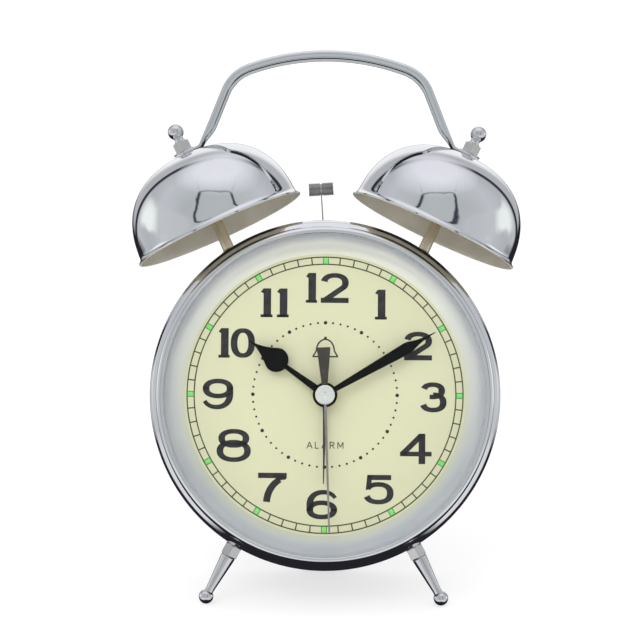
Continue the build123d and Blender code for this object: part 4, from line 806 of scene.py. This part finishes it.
hour_side = [(1.2, 0.0), (0.72, 14.0), (0.7, 14.35)]
hour_side += bend(0, 18.0, 3.7, -74, 10, 14)
hour_side += [(3.56 * (1 - i / 16) ** 1.9 + 0.10, 19.0 + 9.3 * i / 16) for i in range(1, 16)]
hour_side.append((0.0, 28.3))
minute_side = [(0.65, 0.0), (1.76, 27.3), (1.8, 28.1), (1.66, 29.1), (1.2, 30.6), (0.8, 32.0), (0.5, 33.6)]
minute_side += [(0.3, 35.5), (0.12, 37.9), (0.0, 38.1)]
alarm_side = [(0.65, 0.0), (0.15, 26.6), (0.0, 26.7)]
for name, body, side_line, hub, front_y, look, bevel, angle in (
    ("hour_spade", "hour", hour_side, circle(0, 0, 3.7, 64), -13.9, HAND_BLACK, 0.06, HOUR_ANGLE),
    ("minute_blade", "minute", minute_side, circle(0, 0, 3.2, 64), -14.9, HAND_BLACK, 0.06, MINUTE_ANGLE),
    ("alarm_pointer", "alarm", alarm_side, circle(0, 0, 2.7), -12.9, HAND_BROWN, 0.05, ALARM_ANGLE),
):
    outlines = [mirrored(side_line), hub]
    plate(name, outlines, front_y, HAND_SHEET, look, [body + "_hand"], body, bevel, angle)
needle = prism_mesh("needle", [mirrored([(0.42, 1.0), (0.27, 40.8), (0.0, 40.9)])], 15.6, 15.9, 0.05)
tail = [[(-2.07, -14.2), (2.07, -14.2), (0.46, 1.0), (-0.46, 1.0)], circle(0, 0, 1.6)]
tail = prism_mesh("tail", tail, 15.6, 15.9, 0.05)
for polygon in tail.polygons:
    polygon.material_index = 1
finished(
    "second_sweep", joined("second_sweep", [needle, tail], [STANDING, STANDING]), [HAND_GREY, HAND_BROWN],
    ["second_hand"], placed(turn_y=SECOND_ANGLE), "second",
)
BOSS = rounded(
    [(0.36, -15.9), (2.92, -15.9, 0.06), (2.92, -16.32, 0.12), (2.55, -16.6, 0.12), (2.2, -16.6, 0.06),
     (2.05, -16.48, 0.05), (1.9, -16.6, 0.06), (0.95, -16.6, 0.08), (0.6, -16.3, 0.1), (0.0, -16.28),
     (0.0, -16.1), (0.36, -16.1)], 4,
)
lathe("second_cap", BOSS, SILVER, ["second_hand_boss"], 96, body="second")


# ------------------------------------------------------------------ bells, posts, nuts, finials
BELL_X, BELL_Z, BELL_TILT = 32.6, 50.4, 25.0
BELL_R, BELL_LIP_R, BELL_HEIGHT, BELL_SHEET, BELL_POWER = 26.1, 27.1, 25.5, 0.7, 2.4
BELL_BORE, BELL_CURVE_LOW = 1.35, 3.4
WASHER_LOW = BELL_HEIGHT + 0.82
NUT_LOW = WASHER_LOW + 0.5
FINIAL_LOW = NUT_LOW + 3.0
FINIAL_BALL, FINIAL_R = 33.4, 2.45


def bell_place(side):
    return placed((side * BELL_X, 0, BELL_Z), side * BELL_TILT)


def dome_curve(radius, height, count=56):
    """Superellipse from where the flare ends up to the bore in the crown."""
    points = []
    for i in range(count + 1):
        turn = math.radians(90 * i / count)
        r = radius * math.cos(turn) ** (2 / BELL_POWER)
        h = height * math.sin(turn) ** (2 / BELL_POWER)
        if h > BELL_CURVE_LOW and r > BELL_BORE:
            points.append((r, h))
    return points + [(BELL_BORE, height)]


outer = [(BELL_LIP_R, 0.12), (BELL_LIP_R, 0.45), (26.8, 0.7), (26.45, 1.0), (26.22, 1.4), (26.12, 1.9)]
outer += [(26.08, 2.6)] + dome_curve(BELL_R, BELL_HEIGHT)
inner = dome_curve(BELL_R - BELL_SHEET, BELL_HEIGHT - BELL_SHEET)[::-1]
inner += [(25.4, 2.9), (25.6, 2.0), (25.85, 1.1), (26.2, 0.45), (26.55, 0.06), (26.8, 0.0)]


def bell_kind(step):
    """Chrome outside and the lining inside."""
    return 0 if step < len(outer) else 1


SIDES = ((-1, "left"), (1, "right"))
for side, word_side in SIDES:
    name = "bell_dome_" + word_side
    mesh = lathe_mesh(name, [outer + inner], 224, kinds=bell_kind)
    finished(name, mesh, [CHROME, LINING], ["bell_" + word_side], bell_place(side), crease=40.0)


def pair(name, make, look, replaces, place=bell_place):
    """The same small piece at both sides, as one object."""
    mesh = joined(name, [make(), make()], [place(-1), place(1)])
    finished(name, mesh, [look], [replaces])


def hex_nut(radius, bore, low, high, chamfer=0.28):
    """Hexagon nut with turned chamfers on both faces."""
    sixth = math.pi / 3
    flat = radius * math.cos(sixth / 2)
    face, slope = flat - 0.05, radius - chamfer * 0.35
    rows = [(low, face), (low + chamfer * 0.5, slope), (low + chamfer, radius)]
    rows += [(high - chamfer, radius), (high - chamfer * 0.5, slope), (high, face)]
    work = bmesh.new()
    segments = 96
    rings = []
    for segment in range(segments):
        turn = 2 * math.pi * segment / segments
        side = flat / math.cos((turn + sixth / 2) % sixth - sixth / 2)
        ring = [(bore, low), *[(min(side, limit), h) for h, limit in rows], (bore, high)]
        rings.append([work.verts.new((r * math.cos(turn), r * math.sin(turn), h)) for r, h in ring])
    skin(work, rings)
    return mesh_from(work, "nut")


def with_ball(profile, height, radius):
    """A profile that ends in a ball on its axis, centred at height."""
    return profile + bend(0, height, radius, -54, 90, 36)[:-1] + [(0.0, height + radius)]


POST = [
    (0, -12.3), (1.25, -12.3, 0.2), (1.25, -7.4), (2.5, -7.4), (2.5, -6.7, 0.25), (1.8, -6.4, 0.3),
    (1.8, 24.7), (1.25, 24.7), (1.25, 30.5), (0, 30.5),
]
WASHER = [(1.3, WASHER_LOW), (3.5, WASHER_LOW, 0.12), (3.5, NUT_LOW, 0.15), (1.3, NUT_LOW)]
FINIAL = rounded([(0, FINIAL_LOW), (1.75, FINIAL_LOW, 0.12), (1.75, FINIAL_LOW + 0.55, 0.15)], 4)
FINIAL = with_ball(FINIAL + [(1.45, FINIAL_LOW + 0.75), (1.42, FINIAL_LOW + 1.25)], FINIAL_BALL, FINIAL_R)
pair("post_pair", lambda: lathe_mesh("post", [rounded(POST)], 64), POST_METAL, "bell_posts")
pair("washer_pair", lambda: lathe_mesh("washer", [rounded(WASHER)], 96), NICKEL, "bell_washers")
pair("nut_pair", lambda: hex_nut(2.9, 1.3, NUT_LOW, FINIAL_LOW), NICKEL, "bell_nuts")
pair("finial_pair", lambda: lathe_mesh("finial", [FINIAL], 72), CHROME_FINE, "finials")


# ------------------------------------------------------------------ handle
HANDLE_TOP_Z, HANDLE_TOP_R, HANDLE_TOP_HALF = 105.9, 71.4, 24.4
HANDLE_CORNER_R, HANDLE_BEND_R = 13.7, 2.0
HANDLE_STEEP = math.radians(68.6)
HANDLE_HALF_WIDTH, HANDLE_SHEET, HANDLE_FLANGE = 4.0, 0.8, 2.3
TAB_TOP, TAB_BEYOND = WASHER_LOW - 0.02, 3.4
FLANGE_RUN_OUT = 7.0


def handle_half():
    """Right half of the handle's outer face as (x, z, slope), from the top's middle to the tab's end."""
    slope = math.asin(HANDLE_TOP_HALF / HANDLE_TOP_R)
    tilt = math.radians(BELL_TILT)
    points = []
    for i in range(41):
        turn = slope * i / 40
        z = HANDLE_TOP_Z - HANDLE_TOP_R * (1 - math.cos(turn))
        points.append((HANDLE_TOP_R * math.sin(turn), z, turn))
    knee_x, knee_z, _ = points[-1]
    for i in range(1, 41):
        turn = slope + (HANDLE_STEEP - slope) * i / 40
        x = knee_x + HANDLE_CORNER_R * (math.sin(turn) - math.sin(slope))
        points.append((x, knee_z - HANDLE_CORNER_R * (math.cos(slope) - math.cos(turn)), turn))
    knee = Vector(points[-1][:2])
    post = Vector((BELL_X + TAB_TOP * math.sin(tilt), BELL_Z + TAB_TOP * math.cos(tilt)))
    leg = Vector((math.cos(HANDLE_STEEP), -math.sin(HANDLE_STEEP)))
    tab = Vector((math.cos(tilt), -math.sin(tilt)))
    corner = knee + leg * ((post - knee).cross(tab) / leg.cross(tab))
    end = post + tab * TAB_BEYOND
    back = HANDLE_BEND_R * (HANDLE_STEEP - tilt) / 2
    bend_in, bend_out = corner - leg * back, corner + tab * back
    points += [(*knee.lerp(bend_in, i / 30), HANDLE_STEEP) for i in range(1, 31)]
    for t in [i / 12 for i in range(1, 13)]:
        at = bend_in * (1 - t) ** 2 + corner * 2 * t * (1 - t) + bend_out * t * t
        points.append((*at, HANDLE_STEEP + (tilt - HANDLE_STEEP) * t))
    points += [(*bend_out.lerp(end, i / 12), tilt) for i in range(1, 13)]
    return points, bend_in, bend_out, end


def channel(flange, w):
    """Channel section as (y, depth below the outer face), w to each side, its sides as deep as flange."""
    sheet = HANDLE_SHEET
    corner = min(1.0, flange * 0.45)
    inner = max(0.02, corner - 0.55)
    deep = flange / HANDLE_FLANGE
    groove, lip = 0.14 * deep, 0.06 * deep
    top = bend(corner - w, corner, corner, -180, -90, 6)
    top += [((w - corner) * (i / 4 - 1), 0.0) for i in range(1, 8)]
    top += bend(w - corner, corner, corner, -90, 0, 6)
    shares = ((0.50, 0.0), (0.53, groove), (0.56, groove), (0.59, 0.0), (0.66, 0.0), (0.80, lip))
    side = [(w - inset, flange * share) for share, inset in shares]
    side += [(w - 0.17 * deep, flange - 0.08), (w - sheet / 2, flange)]
    side += [(w - sheet + 0.08, flange - 0.08), (w - sheet, max(flange - 0.25, sheet))]
    side += bend(w - sheet - inner, sheet + inner, inner, 0, -90, 4)
    return top + side + [(-y, depth) for y, depth in reversed(side)]


def handle_mesh():
    half, bend_in, bend_out, end = handle_half()
    whole = [(-x, z, -slope) for x, z, slope in reversed(half[1:])] + half
    flat_flange = HANDLE_SHEET + 0.02
    work = bmesh.new()
    rows = []
    for x, z, slope in whole:
        here = Vector((abs(x), z))
        ease = min(1.0, (here - bend_in).length / FLANGE_RUN_OUT) if here.y > bend_in.y else 0.0
        ease = ease * ease * (3 - 2 * ease)
        width = HANDLE_HALF_WIDTH
        short = width - (here - end).length
        if short >= 0 and here.y <= bend_out.y:
            width = max(1.6, math.sqrt(max(0.15, width**2 - short**2)))
        outline = channel(flat_flange + (HANDLE_FLANGE - flat_flange) * ease, width)
        out_x, out_z = math.sin(slope), math.cos(slope)
        rows.append([work.verts.new((x - out_x * depth, y, z - out_z * depth)) for y, depth in outline])
    skin(work, rows, wrap=False)
    work.faces.new(rows[0])
    work.faces.new(list(reversed(rows[-1])))
    return mesh_from(work, "handle", 1e-5)


finished("carry_handle", handle_mesh(), [CHROME], ["handle"], crease=40.0)

# ------------------------------------------------------------------ hammer
HAMMER_PIVOT_Z, HAMMER_HEAD_Z, HAMMER_TILT, HAMMER_WIRE_Y = 38.0, 63.3, 3.84, -0.2
HEAD_R, HEAD_HALF, HEAD_WAIST, HEAD_GROOVES = 2.05, 3.75, 0.45, 5
WIRE_R, WIRE_LOW, WIRE_HIGH = 0.2, 3.0, HAMMER_HEAD_Z - HEAD_R + 0.6 - HAMMER_PIVOT_Z
HAMMER = placed((0, 0, HAMMER_PIVOT_Z), -HAMMER_TILT)


def head_half():
    """Half of the hammer head's profile, from its grooved waist to its end."""
    pitch = (HEAD_HALF - 0.3 - HEAD_WAIST) / HEAD_GROOVES
    points = [(HEAD_R - 0.42, 0.3), (HEAD_R, HEAD_WAIST)]
    for groove in range(HEAD_GROOVES):
        at = HEAD_WAIST + pitch * groove
        points += [(HEAD_R, at + pitch * 0.12), (HEAD_R - 0.2, at + pitch * 0.4)]
        points += [(HEAD_R - 0.2, at + pitch * 0.6), (HEAD_R, at + pitch * 0.88)]
    points += [(HEAD_R, HEAD_HALF - 0.3), (HEAD_R - 0.06, HEAD_HALF - 0.12), (HEAD_R - 0.25, HEAD_HALF)]
    return points + [(0, HEAD_HALF)]


WIRE = rounded([(0, WIRE_LOW), (WIRE_R, WIRE_LOW, 0.04), (WIRE_R, WIRE_HIGH, 0.04), (0, WIRE_HIGH)])
HEAD = [(r, -h) for r, h in reversed(head_half())] + head_half()
wire_place = HAMMER @ Matrix.Translation((0, HAMMER_WIRE_Y, 0))
head_place = HAMMER @ placed((0, HAMMER_WIRE_Y, HAMMER_HEAD_Z - HAMMER_PIVOT_Z), 90)
lathe("hammer_weight", HEAD, HAMMER_STEEL, ["hammer_head"], 72, head_place, "hammer", crease=28.0)
lathe("hammer_stem", WIRE, SLOT_LOOKS["satin_nickel"], ["hammer_wire"], 24, wire_place, "hammer")

# ------------------------------------------------------------------ feet
FOOT_Y, FOOT_X, FOOT_Z, FOOT_SPLAY = -8.5, 35.3, -60.8, 28.5
along_x, along_z = math.sin(math.radians(FOOT_SPLAY)), math.cos(math.radians(FOOT_SPLAY))
reach = FOOT_X * along_x - FOOT_Z * along_z
# From the ball's centre to the case's wall.
FOOT_LENGTH = reach - math.sqrt(reach**2 - (FOOT_X**2 + FOOT_Z**2 - CASE_R**2))


def foot_place(side):
    root = (side * (FOOT_X - FOOT_LENGTH * along_x), FOOT_Y, FOOT_Z + FOOT_LENGTH * along_z)
    return placed(root, 180 - side * FOOT_SPLAY)


LEG = [(0, -4.6), (1.4, -4.6, 0.15), (1.4, 3.75), (1.95, 3.75, 0.1), (2.25, 4.1, 0.3)]
LEG = rounded(LEG + [(1.3, FOOT_LENGTH - 2.6, 0.4), (1.3, FOOT_LENGTH - 1.95)])
LEG = with_ball(LEG, FOOT_LENGTH, 2.2)
for side, word_side in SIDES:
    lathe("leg_" + word_side, LEG, CHROME_FINE, ["foot_" + word_side], 72, foot_place(side))
pair("collar_pair", lambda: hex_nut(2.85, 1.45, 0.3, 3.7), NICKEL, "foot_collars", foot_place)

# ------------------------------------------------------------------ rear: knobs, rim and marks
COVER_Y = 22.6
KNOB_RIBS, KNOB_CAP_R, RIB_DEPTH = 24, 4.7, 0.62
TIME_KNOB, ALARM_KNOB, SWITCH = (-14.06, 8.77), (9.76, 8.77), (-18.0, 27.0)


def knob_ribs(r, h, turn):
    """Rounded ribs on the outer wall of a setting knob."""
    if r < KNOB_CAP_R:
        return r
    return r - RIB_DEPTH * (0.5 + 0.5 * math.cos(KNOB_RIBS * turn)) ** 2


KNOB = [(0, 0), (4.6, 0, 0.2), (5.3, 0.5, 0.3), (5.3, 5.2, 0.3), (5.0, 6.0, 0.4), (4.5, 6.4, 0.3)]
KNOB += [(4.0, 6.4, 0.2), (3.6, 6.0, 0.2), (1.2, 5.9), (0, 5.9)]
KNOB = rounded([(r, COVER_Y + 0.6 + h, *corner) for r, h, *corner in KNOB], 4)
for kind, (x, z) in (("time", TIME_KNOB), ("alarm", ALARM_KNOB)):
    lathe(
        "knob_" + kind, KNOB, BLACK_PLASTIC, [kind + "_set_knob"], 240,
        Matrix.Translation((x, 0, z)) @ DIAL_LATHE, kind + "_set", knob_ribs,
    )
RIM_LOW, RIM_HIGH = COVER_Y - 0.1, COVER_Y + 0.35
RIM = rounded([(50.7, RIM_LOW), (52.4, RIM_LOW), (52.4, RIM_HIGH, 0.2), (50.7, RIM_HIGH, 0.2)], 4)
lathe("cover_rim", RIM, BLACK_PLASTIC, (), 256)


def turn_arrow(x, z, radius):
    """Curved arrow with a head at both ends."""
    out = drawn([oval(x, z, radius, radius, 215, 325, 24)], 0.45)
    for angle, way in ((215, -1), (325, 1)):
        ends = ((radius, angle + way * 13), (radius + 0.8, angle), (radius - 0.8, angle))
        out.append([bend(x, z, r, at, at)[0] for r, at in ends])
    return out


time_x, mark_z, switch_x, switch_z = TIME_KNOB[0], 18.6, *SWITCH
marks = turn_arrow(*TIME_KNOB, 7.4) + turn_arrow(*ALARM_KNOB, 7.4)
marks += drawn([oval(time_x, mark_z, 1.9, 1.9, 0, 360, 32)], 0.4)
marks += drawn([[(time_x, mark_z), (time_x, mark_z + 1.2)], [(time_x, mark_z), (time_x + 0.9, mark_z)]], 0.35)
marks += [moved(outline, ALARM_KNOB[0], 10.6, 0.58) for outline in bell_print]
marks += drawn([[(switch_x - 5.2, switch_z - 0.9), (switch_x - 5.2, switch_z + 0.9)]], 0.45)
marks += drawn([oval(switch_x + 8.6, switch_z, 0.95, 0.95, 0, 360)], 0.4)
plate("cover_marks", marks, COVER_Y - 0.02, 0.08, MARK_PRINT)

# ------------------------------------------------------------------ the CAD nodes that stay
SOFT_EDGED = ("rear_cover", "battery_door", "alarm_switch", "cover_screws")
for name, node in frame["nodes"].items():
    for held in node.material_slots:
        if held.material is not None:
            held.material = SLOT_LOOKS.get(held.material.name.split(".")[0], held.material)
    if name in SOFT_EDGED:
        edge = node.modifiers.new("soft_edges", "BEVEL")
        edge.width = 0.3 * MM
        edge.segments = 3
        edge.limit_method = "ANGLE"
        edge.angle_limit = math.radians(35)
        edge.harden_normals = True


# ------------------------------------------------------------------ floor, surroundings, lights
FLOOR_HALF = 20.0
FLOOR_LOOK = surface(
    "floor_white", (0.40, 0.40, 0.40), (0.38, 0.38, 0.38), (0.75, 0.85), 3.0, 0.0,
    **{"Emission Color": (1, 1, 1, 1), "Emission Strength": 0.66},
)
floor_mesh = bpy.data.meshes.new("floor")
corners = [(x * FLOOR_HALF, y * FLOOR_HALF, 0) for x, y in ((-1, -1), (1, -1), (1, 1), (-1, 1))]
floor_mesh.from_pydata(corners, [], [(0, 1, 2, 3)])
floor_mesh.materials.append(FLOOR_LOOK)
floor = bpy.data.objects.new("floor", floor_mesh)
floor.location.z = -0.00005
floor.visible_glossy = False
bpy.context.scene.collection.objects.link(floor)


def studio():
    """White studio: even light, and for mirrors a pale tent with a dark mouth behind and a dark ground."""
    world = bpy.data.worlds.new("studio")
    bpy.context.scene.world = world
    world.use_nodes = True
    nodes = Nodes(world.node_tree)
    way = nodes.add("TexCoord").outputs["Generated"]

    def towards(direction):
        return nodes.add("VectorMath", {0: way, 1: direction}, operation="DOT_PRODUCT").outputs["Value"]

    parts = nodes.add("SeparateXYZ", {"Vector": way}).outputs
    x, y, z = parts["X"], parts["Y"], parts["Z"]
    cloud = nodes.noise(way, 2.2, 4.0)
    drift = nodes.fade(cloud, 0.25, 0.75, -0.10, 0.10)
    ahead = nodes.plus(towards((0.0, -0.985, 0.17)), drift)
    tent = nodes.ramp(
        nodes.fade(ahead, -1.0, 1.0),
        [(0.0, (0.60, 0.62, 0.63)), (0.34, (0.50, 0.52, 0.54)), (0.58, (0.60, 0.61, 0.64)),
         (0.74, (0.56, 0.58, 0.60)), (0.90, (0.50, 0.53, 0.54)), (1.0, (0.52, 0.545, 0.55))],
    )
    # a doorway in the front of the tent, with dark seams at its sides and above it
    depth = nodes.larger(nodes.times(y, -1.0), 0.05)
    wobble = nodes.fade(cloud, 0.2, 0.8, -0.14, 0.14)
    across = nodes.plus(nodes.size(nodes.over(x, depth)), wobble)
    up = nodes.plus(nodes.over(z, depth), wobble)

    def seam(off_line, thin, wide, strength):
        return nodes.fade(nodes.size(off_line), thin, wide, strength, 0.0)

    side_seam = seam(nodes.minus(across, 0.54), 0.028, 0.085, 1.0)
    side_seam = nodes.times(side_seam, nodes.fade(up, 1.20, 1.34, 1.0, 0.0))
    top_seam = seam(nodes.minus(up, 1.27), 0.026, 0.08, 0.9)
    top_seam = nodes.times(top_seam, nodes.fade(across, 0.54, 0.60, 1.0, 0.0))
    rising = nodes.minus(across, nodes.times(up, 0.45))
    rib = nodes.times(seam(rising, 0.01, 0.05, 0.35), nodes.fade(up, 1.34, 1.50))
    seams = nodes.larger(nodes.larger(side_seam, top_seam), rib)
    seams = nodes.times(seams, nodes.fade(y, -0.30, -0.10, 0.95, 0.0))
    colour = nodes.blend(seams, tent, (0.03, 0.03, 0.05))
    # bright panels at both sides
    sideways = nodes.size(x)
    level = nodes.size(nodes.minus(nodes.plus(z, drift), 0.08))
    panel = nodes.times(nodes.fade(sideways, 0.50, 0.64), nodes.fade(level, 0.17, 0.27, 1.0, 0.0))
    beyond = nodes.fade(nodes.plus(sideways, nodes.times(y, 0.25)), 0.5, 1.1)
    glow = [(0.1, (0.58, 0.59, 0.61)), (0.76, (0.62, 0.63, 0.64)), (0.86, (0.96, 1.0, 0.97))]
    colour = nodes.blend(panel, colour, nodes.ramp(beyond, glow))
    # behind, the tent's dark-edged mouth is open on a white wall, and it is white overhead
    mouth = towards((0.0, 0.949, 0.316))
    colour = nodes.blend(nodes.fade(mouth, 0.58, 0.635), colour, (0.030, 0.030, 0.040))
    colour = nodes.blend(nodes.fade(mouth, 0.69, 0.72), colour, (0.50, 0.51, 0.53))
    colour = nodes.blend(nodes.fade(mouth, 0.87, 0.95), colour, (0.96, 0.97, 0.97))
    colour = nodes.blend(nodes.fade(z, 0.70, 0.94), colour, (0.88, 0.88, 0.93))
    # a white table in front, and dark right below and behind
    sunk = nodes.plus(nodes.times(z, -1.0), drift)
    table = nodes.times(nodes.fade(sunk, 0.10, 0.20), nodes.fade(y, -0.30, -0.10, 1.0, 0.0))
    colour = nodes.blend(table, colour, (0.80, 0.81, 0.83))
    below = nodes.minus(nodes.plus(sunk, nodes.times(y, 0.35)), nodes.times(sideways, 0.28))
    colour = nodes.blend(nodes.fade(below, 0.22, 0.34), colour, (0.020, 0.018, 0.024))

    # evenly white, but for what mirrors see
    white = nodes.add("Background", {"Color": (1, 1, 1, 1)}).outputs["Background"]
    mirror = nodes.add("Background", {"Color": colour}).outputs["Background"]
    rays = nodes.add("LightPath").outputs
    lit = nodes.add("MixShader", {"Fac": rays["Is Glossy Ray"], 1: white, 2: mirror}).outputs["Shader"]
    shown = nodes.add("MixShader", {"Fac": rays["Is Camera Ray"], 1: lit, 2: white}).outputs["Shader"]
    nodes.add("OutputWorld", {"Surface": shown})


studio()

KEY_PLACE, KEY_AIM, KEY_WATTS = Vector((-0.35, -0.75, 0.85)), Vector((0, 0, 0.07)), 3.0
key = bpy.data.lights.new("key", "AREA")
key.shape = "RECTANGLE"
key.size, key.size_y = 0.7, 0.5
key.energy = KEY_WATTS
key_light = bpy.data.objects.new("key", key)
key_light.location = KEY_PLACE
key_light.rotation_euler = (KEY_AIM - KEY_PLACE).to_track_quat("-Z", "Y").to_euler()
key_light.visible_glossy = False
bpy.context.scene.collection.objects.link(key_light)

bpy.context.scene.view_settings.view_transform = "Standard"
